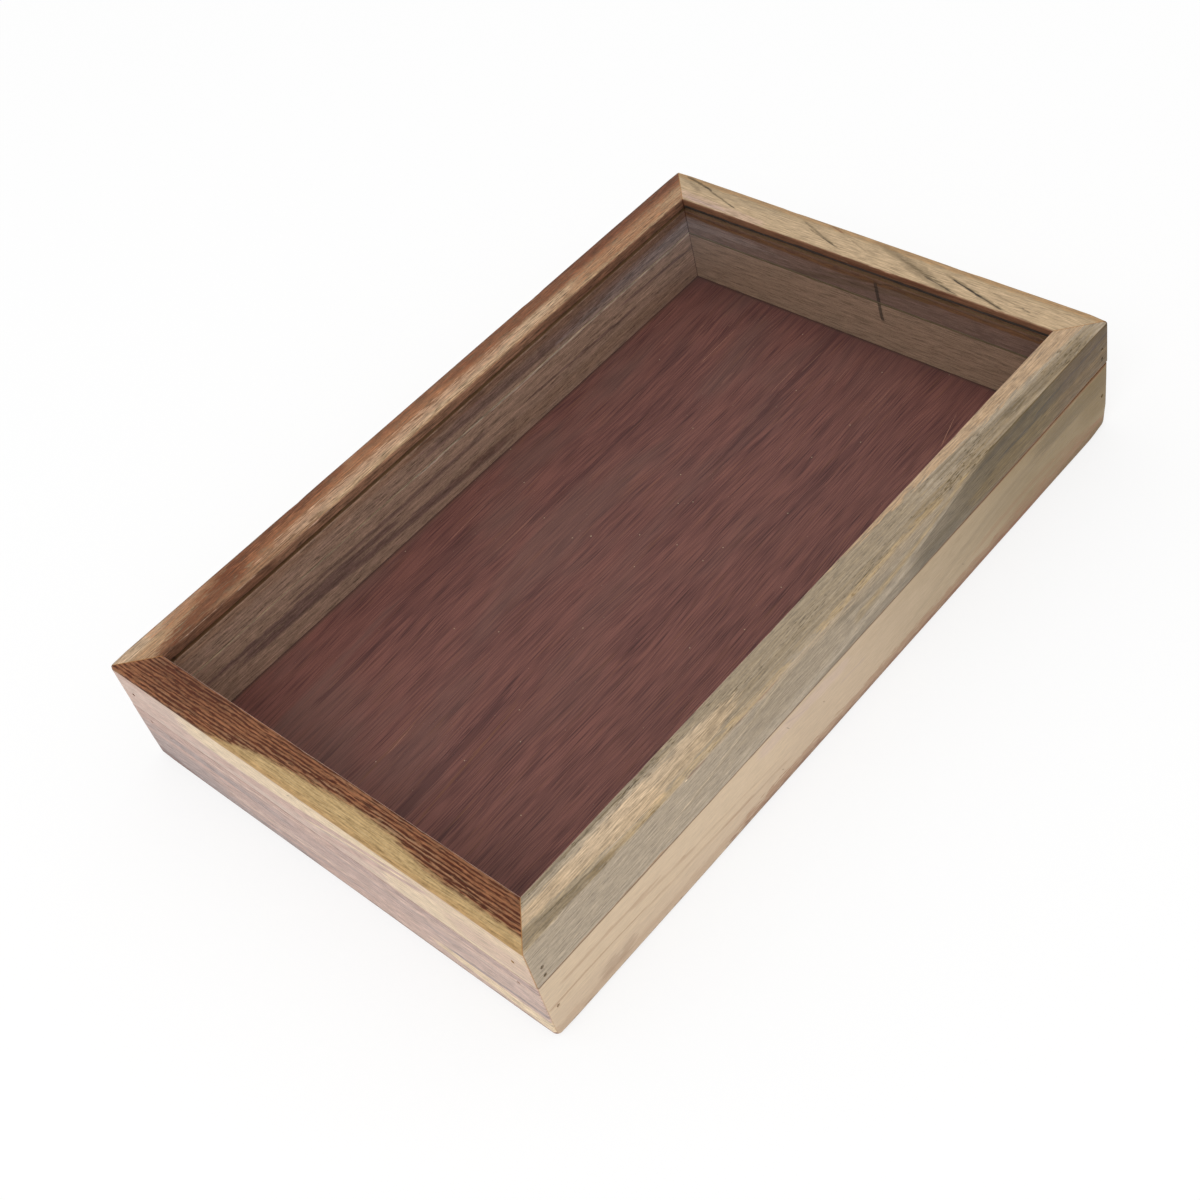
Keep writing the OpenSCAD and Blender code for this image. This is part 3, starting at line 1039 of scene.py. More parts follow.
LID_LEFT = Board(
    seed=19.9,
    top=face(
        Ground("biscuit", "russet", pitch=2.2, slope=0.015, contrast=0.45, dash="rust", dashes=0.4),
        Streak("peach", (0, 46), (2.2, 0.8), (6, 3.0), 0.4, soft=4, ragged=1.6, taper=8),
        Streak("russet", (22, 312), 3.0, (6, 7.4), 0.7, soft=6, ragged=2.2, taper=16),
        Streak("rust", (8, 60), (13.4, 4.6), (3.0, 9), 0.75, soft=6, ragged=2.2, taper=8),
        Streak("rust", (22, 94), (11.0, 11.4), (8, 5), 0.5, soft=4, ragged=2.0, taper=10),
        Streak("rust", (46, 112), (4.6, 1.2), (9, 5.4), 0.8, soft=6, ragged=2.0, taper=12),
        Streak("russet", (60, 200), (6.8, 7.4), 7, 0.65, soft=5, ragged=1.6, taper=20),
        Streak("rust", (176, 316), 3.4, 7, 0.4, soft=5, ragged=2.0, taper=20),
        Streak("rust", (120, 312), (1.6, 1.4), (4.0, 5.2), 0.55, soft=4, ragged=2.2, taper=20),
        Streak("rust", (164, 188), (3.8, 4.4), (1.6, 2.2), 0.5, soft=2.4, ragged=2.0),
        Streak("rust", (196, 262), (5.4, 4.0), (2.6, 1.8), 0.55, soft=2.4, ragged=2.0),
        Streak("umber", (226, 312), (0.2, 1.0), (2, 2.8), 0.4, soft=2.4, ragged=1.6),
        Streak("rust", (240, 308), (3.0, 2.6), (2.8, 3.4), 0.55, soft=3.0, ragged=2.0),
        Streak("russet", (236, 290), (9.0, 9.4), 6, 0.5, soft=5, ragged=2.0, taper=14),
        Streak("peach", (70, 226), (9.6, 9.8), (4, 5), 0.28, soft=5, ragged=2.2, taper=24),
        Streak("umber", (12, 44), (13.6, 13.2), (2.4, 1.6), 0.6, soft=1.8, ragged=1.6),
        Streak("umber", (-5, 315), 0.1, (1.0, 1.2), 0.5, soft=1.2),
        Streak("umber", (-5, 315), 14.1, 1.1, 0.5, soft=0.9),
    ),
    outer=face(
        Ground("biscuit", "russet", slope=0.015, contrast=0.4, dash="rust", dashes=0.2),
        Streak("wheat", (-5, 200), (10, 13), (7, 5), 0.5, soft=4, ragged=1.4, taper=24),
        Streak("russet", (20, 190), (4.6, 6.8), (2.4, 4.0), 0.55, soft=2.6, ragged=1.4, taper=24),
        Streak("rust", (70, 168), (5.2, 6.4), (0.9, 1.2), 0.5, soft=1.2, ragged=1.2, taper=12),
        Streak("rust", (176, 316), (3.0, 1.2), (3.0, 4.6), 0.5, soft=2.4, ragged=1.6, taper=20),
        Streak("russet", (150, 316), (11.0, 9.6), (2.6, 3.4), 0.5, soft=2.6, ragged=1.4, taper=20),
        Streak("honey", (-5, 316), 19.4, 1.4, 0.4, soft=1.2),
    ),
    inner=face(
        Ground("wall", "wall_dark", pitch=2.6, slope=-0.01, contrast=0.5, dash="wall_dark"),
        Streak("lip", (-5, 315), 2.0, 4.6, 0.8, soft=1.2),
        Streak("umber", (-5, 66), 2.0, 4.6, 0.45, soft=1.2, ragged=1.4),
        Streak("umber", (210, 315), 2.0, 4.6, 0.35, soft=1.2, ragged=2.0, taper=16),
        Streak("lip", (-5, 150), (8.6, 8.2), (3.0, 2.6), 0.35, soft=3, ragged=2.4),
        # Painted shade: a dark band on the inner face below the pane, towards the back.
        Streak("umber", (136, 312), (8.2, 8.4), (3.0, 4.4), 0.55, soft=2.4, ragged=1.8, taper=20),
        Streak("wall_dark", (140, 300), (12.4, 12.6), (4, 6), 0.75, soft=3, ragged=1.8, taper=20),
        Streak("dusk", (214, 320), (15.6, 14.4), (4, 7), 0.5, soft=4, ragged=1.4, taper=24),
    ),
    grain=2.3,
    outer_grain=1.1,
)

LID_BACK = Board(
    seed=27.1,
    top=face(
        Ground("wheat", "tan", pitch=5.0, slope=-0.3, contrast=0.4, dash="sage", dashes=0.12),
        Streak("sage", (4, 60), (3.0, 3.6), (6, 5), 0.25, soft=5, ragged=1.6, taper=10),
        Streak("rose", (10, 54), (10.6, 12.4), (5, 2.6), 0.4, soft=3, ragged=1.4),
        Streak("mauve", (14, 34), (11.4, 12.2), (1.6, 2), 0.5, soft=1.8, ragged=1.6),
        Streak("honey", (-5, 205), 0.2, 4.4, 0.65, soft=3.4, ragged=1.4),
        Streak("flax", (-5, 205), 1.6, 5, 0.3, soft=4, ragged=1.2),
        Streak("slate", (6, 20.5), (0.8, 3.6), (0.9, 1.2), 0.75, soft=1.2, taper=2),
        Streak("slate", (20, 38), (4.0, 9.0), (0.9, 0.6), 0.6, soft=0.9, ragged=0.9, taper=3),
        Streak("ink", (17, 21.5), (3.0, 4.0), (0.6, 0.8), 0.6, soft=0.7, ragged=0.5, taper=1),
        Streak("ink", (33, 37), (7.8, 8.8), 0.4, 0.7, soft=0.6, ragged=0.4, taper=1),
        Streak("slate", (9, 18), (3.6, 6.6), (1.6, 1.2), 0.35, soft=1.6, ragged=1.4, taper=3),
        Streak("slate", (66, 84), (2.6, 8.4), (3, 2.4), 0.14, soft=3, ragged=2, taper=4),
        Streak("slate", (68, 88), (3.2, 10.2), (0.8, 0.7), 0.5, soft=1.1, ragged=0.9, taper=3),
        Streak("slate", (72, 90), (5.8, 10.8), (0.5, 0.8), 0.5, soft=0.9, ragged=0.8, taper=3),
        Streak("ink", (80, 88), (8.2, 10.4), 0.4, 0.6, soft=0.5, ragged=0.4, taper=2),
        Streak("rust", (79, 86), (0.8, 2.6), (0.6, 0.8), 0.55, soft=0.9, taper=2),
        Streak("slate", (91, 101), (4.4, 7.6), (0.7, 0.5), 0.35, soft=1.1, taper=3),
        Streak("slate", (104, 132), (1.8, 8.6), (2.8, 3.8), 0.4, soft=3, ragged=2.4, taper=6),
        Streak("slate", (112, 145), (3.8, 13.2), 1.2, 0.4, soft=1.6, ragged=2.2),
        Streak("slate", (118, 144), (7.4, 13.4), (3.4, 2.2), 0.4, soft=3, ragged=2.4),
        Streak("ink", (128, 145), (9.4, 13.2), (0.5, 0.6), 0.6, soft=0.7, ragged=0.6, taper=3),
        Streak("slate", (135, 165), (4.6, 13.0), (1.6, 1.4), 0.5, soft=1.8, ragged=1.4, taper=4),
        Streak("ink", (139, 154), (6.0, 10.2), (0.6, 0.7), 0.85, soft=0.7, ragged=0.5, taper=2),
        Streak("ink", (146, 164), (7.6, 12.8), (0.4, 0.7), 0.7, soft=0.7, ragged=0.5, taper=2),
        Streak("slate", (154, 174), (5.6, 9.4), (0.6, 0.8), 0.35, taper=3),
        Streak("ink", (170, 174), (8.6, 9.2), 0.4, 0.55, soft=0.5, taper=0.8),
        Streak("rust", (-5, 205), 14.0, 0.9, 0.6, soft=0.9, ragged=0.8),
    ),
    outer=face(
        Ground("wheat", "straw", pitch=3.4, slope=0.03, contrast=0.5, dashes=0.15),
        Streak("flax", (-5, 128), (5.4, 9.0), (3.0, 4.4), 0.5, soft=3, ragged=1.4, taper=20),
        Streak("sage", (40, 150), (8.0, 12.0), (1.0, 1.4), 0.45, soft=1.6, ragged=1.2, taper=14),
        Streak("honey", (96, 205), (3.2, 5.0), (1.6, 2.2), 0.4, soft=2, ragged=1.4, taper=14),
        Streak("tan", (70, 205), (15.0, 13.0), (4, 5), 0.6, soft=3, ragged=1.4, taper=20),
    ),
    inner=face(
        Ground("wall", "wall_dark", pitch=4.0, slope=-0.02, contrast=0.3, dash="wall_dark", dashes=0.1),
        Streak("wall_dark", (-5, 205), 13, 11, 0.8, soft=3),
        Streak("slate", (-5, 205), 13, 11, 0.12, soft=3),
        Streak("honey", (-5, 205), 2.0, 4.6, 0.4, soft=1.2),
        Streak("lip", (-5, 205), 2.0, 4.6, 0.8, soft=1.2, ragged=1.4),
        Streak("umber", (-5, 205), 2.0, 4.6, 0.5, soft=1.2, ragged=1.4),
        Streak("umber", (60, 146), (3.6, 0.4), 1.4, 0.5, soft=1.4, ragged=1.8, taper=8),
        # Painted shadow: the black line of the shadow gap above the pane, painted on the lip.
        Streak("ink", (-5, 205), 3.2, 1.2, 1.0, soft=0.4, ragged=0.6),
        Streak("umber", (-5, 205), 7.2, 4.4, 0.7, soft=2.0, ragged=1.4),
        Streak("honey", (-5, 205), 8.6, 1.4, 0.3, soft=1.4, ragged=2.0),
        Streak("dusk", (-10, 60), (11, 12.6), (6, 3), 0.3, soft=5, ragged=1.2, taper=24),
        Streak("slate", (64, 133), (18, 8), (2.6, 3.4), 0.35, soft=2.5, ragged=1.4, taper=14),
        Streak("slate", (84, 118), (12, 7), (1.2, 1.0), 0.4, soft=1.2, taper=8),
    ),
    grain=1.2,
    outer_grain=0.8,
)

BASE_RIGHT = Board(
    seed=35.3,
    top=face(Ground("cream", "tan")),
    outer=face(
        Ground("peach", "tan", pitch=2.6, slope=-0.03, drift=3.0, contrast=0.14, dash="russet", dashes=0.03,
               far_light="flax", far_dark="sage", turns=(90, 295)),
        Streak("cream", (0, 120), 8, (20, 18), 0.25, soft=8, taper=30),
        Streak("russet", (8, 54), (7.2, 8.2), (1.4, 1.2), 0.28, soft=1.6, ragged=1.2),
        Streak("russet", (38, 70), (8.4, 12.2), (1.2, 1.4), 0.22, soft=1.6, ragged=1.2),
        Streak("russet", (0, 46), (13.4, 14.6), (0.8, 0.7), 0.4, soft=0.9, ragged=0.7, bow=-0.5),
        Streak("russet", (44, 100), (15, 18), (1.0, 1.2), 0.22, soft=1.4, ragged=1.2),
        Streak("russet", (62, 112), (11.0, 15.0), 0.8, 0.18, soft=1.2, ragged=1.2),
        Streak("russet", (82, 118), (17.4, 19.4), 0.9, 0.25),
        Streak("rust", (22, 38), (23, 22.6), (6, 5), 0.25, soft=4, ragged=2.5),
        Streak("russet", (-5, 120), (25.6, 25.0), (4, 3), 0.2, soft=4, ragged=2.0),
        Streak("russet", (92, 320), (26.0, 25.4), (4.6, 5.6), 0.48, soft=3, ragged=2.4, taper=24),
        Streak("blush", (104, 152), (4, 4.6), (5, 4), 0.5, soft=4),
        Streak("slate", (118.4, 119.6), (4.4, 6.2), 0.5, 0.5, soft=0.6, taper=0.5),
        Streak("rust", (136.6, 137.6), (10.6, 11.4), 0.6, 0.4, soft=0.7, taper=0.5),
        Streak("rust", (112.6, 113.6), (20.8, 21.6), 0.6, 0.45, soft=0.7, taper=0.5),
        Streak("slate", (215.6, 216.8), (18.4, 19.6), 0.6, 0.45, soft=0.7, taper=0.5),
        Streak("mauve", (118, 130), (2.4, 6.2), 0.7, 0.35, soft=0.9, taper=3),
        Streak("mauve", (146, 160), (11.0, 11.4), 0.8, 0.35, soft=0.9, taper=3),
        Streak("sage", (180, 310), (20, 10), (1.8, 2.4), 0.22, soft=2.8, ragged=1.4, bow=-5.0, taper=24),
        Streak("sage", (200, 300), (22.4, 14), (1.4, 2.0), 0.24, soft=2.6, ragged=1.4, bow=-5.0, taper=24),
        Streak("slate", (210, 310), (13, 6), (1.8, 2.4), 0.18, soft=2.8, ragged=1.4, bow=-3.0, taper=22),
        Streak("slate", (220, 306), (16, 10), (1.4, 1.8), 0.14, soft=2.4, ragged=1.4, bow=-3.6, taper=20),
        Streak("russet", (222, 300), (19.6, 21.6), (2, 2.4), 0.26, soft=3, ragged=1.2, bow=-3.4, taper=16),
        Streak("russet", (236, 312), (23.0, 25.0), (2.4, 3.0), 0.3, soft=3, ragged=1.2, bow=-2.6, taper=16),
        Streak("slate", (262, 314), (4.6, 5), (8, 9), 0.45, soft=5, ragged=1.6, taper=14),
        Streak("rust", (-5, 315), (28.6, 28.2), (1.8, 2.6), 0.5, soft=2.4, ragged=2.4),
        Streak("rust", (80, 315), (27.4, 27.0), (2.0, 2.6), 0.4, soft=2, ragged=2.4, taper=20),
        Streak("umber", (190, 318), (28.8, 28.2), (2.0, 3.8), 0.4, soft=2.6, ragged=2.0, taper=24),
        Streak("olive", (240, 325), 14, 34, 0.22, soft=8, ragged=0.6, taper=40),
        Streak("olive", (292, 325), 8, 22, 0.5, soft=9, ragged=0.8, taper=14),
        Streak("russet", (150, 325), (29.6, 28.6), (3.2, 6.0), 0.7, soft=3, ragged=1.6, taper=36),
        Streak("olive", (262, 325), (29.6, 28.0), (6, 9), 0.7, soft=4, ragged=1.2, taper=24),
    ),
    inner=PLAIN_INSIDE,
    seam_dirt_and_shade=0.6,
    grain=0.34,
)

BASE_FRONT = Board(
    seed=43.9,
    top=face(Ground("blush", "mauve")),
    outer=face(
        Ground("rose", "mauve", pitch=2.4, slope=0.025, drift=2.4, contrast=0.7, dash="dusk", dashes=0.3,
               far_light="blush", far_dark="rose", turns=(80, 190)),
        Streak("dusk", (16, 84), (8.0, 9.8), (4.4, 3.6), 0.85, soft=2.6, ragged=1.2, taper=10),
        Streak("mauve", (60, 204), (11, 12), (10, 8), 0.45, soft=6, ragged=1.4, taper=20),
        Streak("dusk", (-4, 44), (20, 22), (14, 12), 0.75, soft=6, ragged=1.6, taper=14),
        Streak("dusk", (-4, 90), (26, 27), (6, 4), 0.9, soft=3, ragged=1.6, taper=12),
        Streak("wall_dark", (-8, 24), (26.4, 28.4), (8, 4.4), 0.85, soft=4, ragged=1.6, taper=8),
        Streak("dusk", (-8, 24), (10, 9), (6, 4), 0.5, soft=4, ragged=1.6, taper=8),
        Streak("rust", (-4, 84), (28.0, 28.4), (2.8, 1.4), 0.45, soft=2, ragged=2.0, taper=12),
        Streak("blush", (40, 104), (4.6, 2.6), (1.3, 1.1), 0.7, soft=1.4),
        Streak("dusk", (56, 84), (6.0, 5.2), 0.7, 0.75, soft=0.8, ragged=0.5),
        Streak("rust", (8, 13), (3.6, 5.6), (0.9, 0.6), 0.5, soft=0.8, ragged=0.5, taper=1.5),
        Streak("rust", (12, 25), (5.6, 6.6), (0.8, 0.5), 0.45, soft=0.8, ragged=0.6, taper=2),
        Streak("rust", (17.5, 20), (8.4, 7.2), (1.1, 0.9), 0.45, soft=0.9, taper=0.8),
        Streak("mauve", (108, 204), (2.0, 2.4), (3.8, 3.0), 0.9, soft=1.2, ragged=0.7, taper=8),
        Streak("rust", (143, 152), (1.4, 1.2), 0.6, 0.4, soft=0.7, taper=2),
        Streak("rust", (145, 149), 4.0, (0.7, 0.5), 0.4, soft=0.7, taper=1.4),
        Streak("rust", (163, 172), (5.2, 5.0), 0.7, 0.3, soft=0.8, taper=2),
        Streak("blush", (104, 148), (6.6, 6.2), (1.0, 1.1), 0.5, soft=1.4),
        Streak("dusk", (96, 150), (8.4, 8.6), 1.2, 0.4, soft=1.3, taper=8),
        Streak("mauve", (24, 110), (13.4, 15.0), (1.6, 1.4), 0.6, soft=1.6, ragged=1.2, taper=10),
        Streak("blush", (70, 130), (16.4, 15.4), (1.4, 1.2), 0.4, soft=1.6, taper=10),
        Streak("dusk", (40, 120), (22.0, 20.6), (1.8, 1.6), 0.5, soft=1.8, ragged=1.4, taper=12),
        Streak("cream", (150, 204), (20.6, 23.4), (3.8, 7.0), 0.9, soft=1.6, ragged=0.8, taper=10),
        Streak("dusk", (154, 204), (18.6, 17.2), (1.2, 2.0), 0.95, soft=1.4, ragged=0.9, bow=-0.6),
        Streak("dusk", (146, 172), (11, 11.2), (1.8, 1.2), 0.5, soft=1.6, ragged=1.2),
        Streak("blush", (44, 110), (19.4, 17.6), (2.4, 2.0), 0.5, soft=2.4, ragged=1.4),
        Streak("russet", (132, 137), (10, 26), 3, 0.12, soft=2.4, taper=2),
        Streak("rust", (-5, 205), (28.4, 27.6), (1.4, 1.8), 0.6, soft=1.6, ragged=1.4),
    ),
    inner=PLAIN_INSIDE,
    seam_dirt_and_shade=0.2,
    grain=1.6,
)

BASE_LEFT = Board(
    seed=51.7,
    top=face(Ground("cream", "peach")),
    outer=face(
        Ground("peach", "sage", pitch=3.6, slope=0.015, drift=3.0, contrast=0.4, dashes=0.15),
        Streak("tan", (-5, 170), (8, 12), (6, 8), 0.5, soft=4, ragged=1.4, taper=24),
        Streak("sage", (40, 220), (10.4, 14.0), (1.4, 2.0), 0.45, soft=2, ragged=1.4, bow=1.6, taper=20),
        Streak("sage", (96, 316), (19.0, 16.4), (1.6, 2.6), 0.4, soft=2.4, ragged=1.4, bow=-1.4, taper=20),
        Streak("cream", (150, 316), (5.0, 6.4), (4, 5), 0.5, soft=4, ragged=1.2, taper=20),
        Streak("rust", (-5, 316), 28.4, (2.0, 2.4), 0.45, soft=2, ragged=2.2),
    ),
    inner=face(
        Ground("wall", "wall_dark", pitch=2.8, slope=-0.02, contrast=0.4, dash="wall_dark"),
        # Painted highlight: a thin pale glint along the top edge of the tongue.
        Streak("blush", (130, 296), -1.9, 0.6, 0.8, soft=0.5, ragged=1.2, taper=16),
        Streak("wall_dark", (22, 120), (5.5, 8.5), (1.8, 2.8), 0.9, soft=1.8, ragged=1.6, taper=16),
        Streak("wall_dark", (36, 100), (9.0, 11.0), (3.4, 4.4), 0.9, soft=2.4, ragged=2.0, taper=16),
        Streak("wall_dark", (60, 170), (3.5, 5.5), (1.4, 2.2), 0.8, soft=1.6, ragged=1.4, taper=16),
        Streak("wall_dark", (90, 180), (12.0, 16.0), (3.0, 4.0), 0.9, soft=2.4, ragged=2.0, taper=16),
        Streak("lip", (150, 300), (14.0, 17.0), (5, 6), 0.25, soft=4, ragged=2.0, taper=16),
        Streak("wall_dark", (186, 260), (7.0, 9.0), (0.9, 1.4), 0.8, soft=1.3, taper=12),
        Streak("wall_dark", (250, 296), (3.0, 5.0), (0.9, 1.4), 0.8, soft=1.3, taper=8),
    ),
    grain=2.0,
    outer_grain=0.9,
)

BASE_BACK = Board(
    seed=63.1,
    top=face(Ground("cream", "peach")),
    outer=face(
        Ground("peach", "tan", pitch=3.6, slope=0.02, drift=3.0, contrast=0.5, dashes=0.12),
        Streak("blush", (-5, 120), (14, 17), (8, 6), 0.5, soft=5, ragged=1.2, taper=24),
        Streak("russet", (10, 112), (6.4, 9.0), (1.2, 1.4), 0.3, soft=1.6, ragged=1.2, taper=14),
        Streak("tan", (84, 205), (11.0, 9.0), (2.4, 3.0), 0.6, soft=2.4, ragged=1.4, taper=16),
        Streak("mauve", (50, 205), (21.0, 19.4), (1.8, 2.2), 0.45, soft=2, ragged=1.4, taper=16),
        Streak("rust", (-5, 205), 28.4, (1.8, 2.2), 0.45, soft=2, ragged=2.2),
    ),
    inner=face(
        Ground("wall", "wall_dark", pitch=6.0, contrast=0.12, dash="wall_dark", dashes=0.05),
        Streak("slate", (-5, 205), 10, 30, 0.32),
    ),
    outer_grain=0.7,
)


def scratch(along, across, share=0.45):
    """A hairline scratch in the floor's veneer."""
    return Streak("scratch", along, across, (0.3, 0.2), share, soft=0.35, ragged=0.35, taper=3)


FLOOR_STREAKS = (
    Streak("veneer_dark", (20, 90), (104, 100), (5, 4), 0.5, soft=4, ragged=1.6, taper=16),
    Streak("veneer_dark", (44, 100), (43, 41), (2.4, 1.6), 0.5, soft=1.6, ragged=1.4, taper=10),
    Streak("veneer_dark", (100, 140), (34, 32), (10, 8), 0.3, soft=8, ragged=1.6, taper=14),
    Streak("veneer_dark", (150, 240), 50, (2.4, 1.2), 0.4, soft=2, ragged=1.4, taper=10),
    Streak("veneer_dark", (206, 300), (92, 88), (1.6, 3.4), 0.6, soft=2, ragged=1.4, taper=14),
    Streak("veneer_dark", (208, 300), 39, 0.7, 0.6, soft=0.8, ragged=0.8, taper=10),
    Streak("veneer_dark", (248, 300), (47, 48), 2.2, 0.35, soft=2, ragged=1.4, taper=10),
    Streak("veneer_dark", (200, 260), 132, 3, 0.35, soft=3, ragged=1.6, taper=14),
    Streak("wall_dark", (22, 96), (39, 33), (4, 3), 0.3, soft=4, ragged=1.6, taper=14),
    Streak("russet", (20, 84), (112.5, 106), (1.0, 0.8), 0.35, soft=1.2, taper=10),
    Streak("russet", (20, 60), (82.5, 80.2), (0.9, 0.7), 0.3, soft=1.2, taper=10),
    scratch((43, 58), (81.7, 80.5), 0.7),
    scratch((129, 150), (28.4, 27.5)),
    scratch((133, 155), (48.7, 48.5)),
    scratch((136, 147), 111.4),
    scratch((261, 278), (18.9, 18.6)),
    scratch((256, 266), (28.4, 28.0)),
    scratch((267, 276), (36.4, 36.2)),
    scratch((254, 277), (50.2, 50.0), 0.7),
    scratch((248, 256), (65.4, 65.2)),
    scratch((254, 272), (86.2, 85.7), 0.7),
    scratch((269, 283), (89.4, 89.3)),
    scratch((270, 280), (104.8, 104.2)),
    scratch((269, 285), (126.0, 125.4)),
    scratch((273, 285), (134.3, 133.9)),
    scratch((261, 279), (159.8, 154.6), 0.8),
)

BOARDS = {
    "lid": {"right": LID_RIGHT, "back": LID_BACK, "left": LID_LEFT, "front": LID_FRONT},
    "base": {"right": BASE_RIGHT, "back": BASE_BACK, "left": BASE_LEFT, "front": BASE_FRONT},
}


def palette():
    """The colours of the woods as a dict of linear colours."""
    group = bpy.context.scene.specimen_colours
    return {name: tuple(getattr(group, name)) for name in group.__annotations__}


def new_material(name):
    material = bpy.data.materials.new(name)
    material.use_nodes = True
    material.node_tree.nodes.clear()
    return material, Shader(material.node_tree)


def finish_surface(shader, principled):
    out = shader.put("ShaderNodeOutputMaterial")
    shader.feed(out.inputs["Surface"], principled.outputs[0])


def stain_round_brads(shader, place, colour, sizes, part, side, colours):
    """Dark stain that each brad has left in the grain around its head."""
    half = BOX.half_span(side)
    top = BOX.top if part == "lid" else BOX.seam
    strength = 0.3 if side == "front" else 0.6
    for point, inwards in brad_places(sizes, part):
        if (inwards.x, inwards.y) != INWARDS[side]:
            continue
        lengthways = point.y if side in ("right", "left") else point.x
        middle = (lengthways + half) / MM
        down = (top - point.z) / MM
        ends = (middle - 0.6, middle + 0.6)
        stain = Streak("ink", ends, down, 0.4, strength, soft=0.8, ragged=0.2, taper=0.6)
        colour = streaked(shader, place, place.down, colour, (stain,), colours)
    return colour


class Pencil:
    """Where the pencil mark inside the back runs, in mm: its foot, lean, hook, middle and half length."""

    ALONG = 110.2
    FOOT = 22.6
    LEAN = 0.088
    HOOK = 0.3
    HOOK_TOP = 24.6
    MIDDLE = 31.7
    HALF = 9.0


def pencil_mark(shader, place, colour, colours):
    """Short slanted pencil mark that the maker left across the joint, inside the back."""
    line = Pencil.ALONG - (place.height - Pencil.FOOT) * Pencil.LEAN
    hook = place.height.rise(Pencil.HOOK_TOP, Pencil.FOOT - 0.2) * Pencil.HOOK
    near = abs(place.along - line - hook + place.fine * 0.5)
    length_share = abs(place.height - Pencil.MIDDLE).rise(Pencil.HALF + 0.4, Pencil.HALF - 0.4)
    return shader.mix(near.rise(1.0, 0.6) * length_share * 0.75, colour, colours["ink"])


# Where the stain that follows the right side's seam begins and is full, in mm from the front
FAR_STAIN = (180.0, 290.0)


def board_material(part, side):
    """Varnished wood of one board, with its own figure on every face."""
    board = BOARDS[part][side]
    colours = palette()
    sizes = bpy.context.scene.specimen_sizes
    material, shader = new_material(f"{part} {side} wood")
    place = Place(shader, part, side, board.seed)
    outer = face_colour(shader, place, place.down, board.outer, colours)
    outer = stain_round_brads(shader, place, outer, sizes, part, side, colours)
    from_seam = place.seam(Wear(side))
    at_face = place.depth.rise(1.6, 0.6)
    if side == "right":
        far = place.along.rise(*FAR_STAIN)
        stained = (from_seam + place.fine * 1.2).rise(1.4, 0.3) * far * at_face
        outer = shader.mix(stained * 0.55, outer, colours["honey"])
        from_seam = from_seam - far * 0.4
    # Dirt in the joint together with painted shade of the seam gap: umber along the outer seam, on the outer
    # faces only.
    seam_shade_and_dirt = (from_seam + place.fine * 0.5).rise(0.42, 0.12) * at_face * board.seam_dirt_and_shade
    outer = shader.mix(seam_shade_and_dirt, outer, colours["umber"])
    inner = face_colour(shader, place, place.down, board.inner, colours)
    if side == "back":
        inner = pencil_mark(shader, place, inner, colours)
    colour = outer
    if part == "lid":
        if board.top is None:
            top = striped_heartwood(shader, place, colours)
        else:
            top = face_colour(shader, place, place.depth, board.top, colours)
        colour = shader.mix(place.upward.rise(board.top_wraps - 0.1, board.top_wraps + 0.1), outer, top)
    else:
        ledge = face_colour(shader, place, place.depth, board.top, colours)
        colour = shader.mix(place.upward.rise(0.8, 0.9) * place.depth.rise(0.6, 1.6), outer, ledge)
    inside = place.inward.rise(0.45, 0.6)
    colour = shader.mix(inside, colour, inner)
    fine_grain = place.fibre * 1.1 + place.mottle * 0.25 - place.pores.rise(0.66, 0.82) * 0.1
    grain = board.grain
    if board.outer_grain:
        grain = grain + place.inward.rise(-0.45, -0.6) * (board.outer_grain - board.grain)
    tone = 1.0 + (fine_grain + place.fine * 0.14) * grain
    colour = shader.shade(colour, tone)
    # Painted shade: slate on the upper inner arris of the back wall's tongue, which lies in the shaded gap
    # under the lid.
    if part == "base" and side == "back":
        tongue_top = BOX.tongue_top / MM
        arris = place.height.rise(tongue_top - 0.6, tongue_top - 0.3) * place.depth.rise(12.2, 13.2)
        colour = shader.mix(arris * 0.7, colour, colours["slate"])
    line = (place.mitre() + place.fine * 0.2).rise(0.34, 0.12)
    corner_share = inside * 0.3 + (0.65 if part == "lid" else 0.3)
    colour = shader.mix(line * corner_share, colour, shader.mix(inside, colours["glue"], colours["umber"]))
    if part == "lid":
        wall = BOX.wall / MM
        bottom = (BOX.wall - sizes.groove_depth) / MM
        pane_top = BOX.pane_high / MM
        grooved = place.depth.rise(wall, wall - 0.2) * place.depth.rise(bottom - 0.5, bottom)
        # Painted shade in the pane's groove: the groove's faces next to the pane take the darker lip colour,
        painted_groove_shade = grooved * abs(place.height - (pane_top - 0.8)).rise(1.5, 1.3)
        colour = shader.mix(painted_groove_shade * 0.8, colour, colours["lip"])
        # and the shadow gap above the pane is painted black.
        painted_gap_shadow = grooved * abs(place.height - (pane_top + 0.3)).rise(0.7, 0.3)
        colour = shader.mix(painted_gap_shadow, colour, colours["ink"])
    roughness = 0.42 - place.fibre * 0.3 + inside * 0.2
    bump = shader.put("ShaderNodeBump", {
        "Strength": 0.5,
        "Distance": 0.00015,
        "Height": place.fibre - place.pores.rise(0.6, 0.75) * 0.5,
    })
    principled = shader.put("ShaderNodeBsdfPrincipled", {
        "Base Color": colour,
        "Roughness": roughness,
        "Normal": bump.outputs[0],
        "Specular IOR Level": 0.22,
    })
    finish_surface(shader, principled)
    return material


class Grain(NamedTuple):
    """What the streaks of a flat panel are laid along."""

    along: Reading
    slow: Reading
    fine: Reading
    fibre: Reading


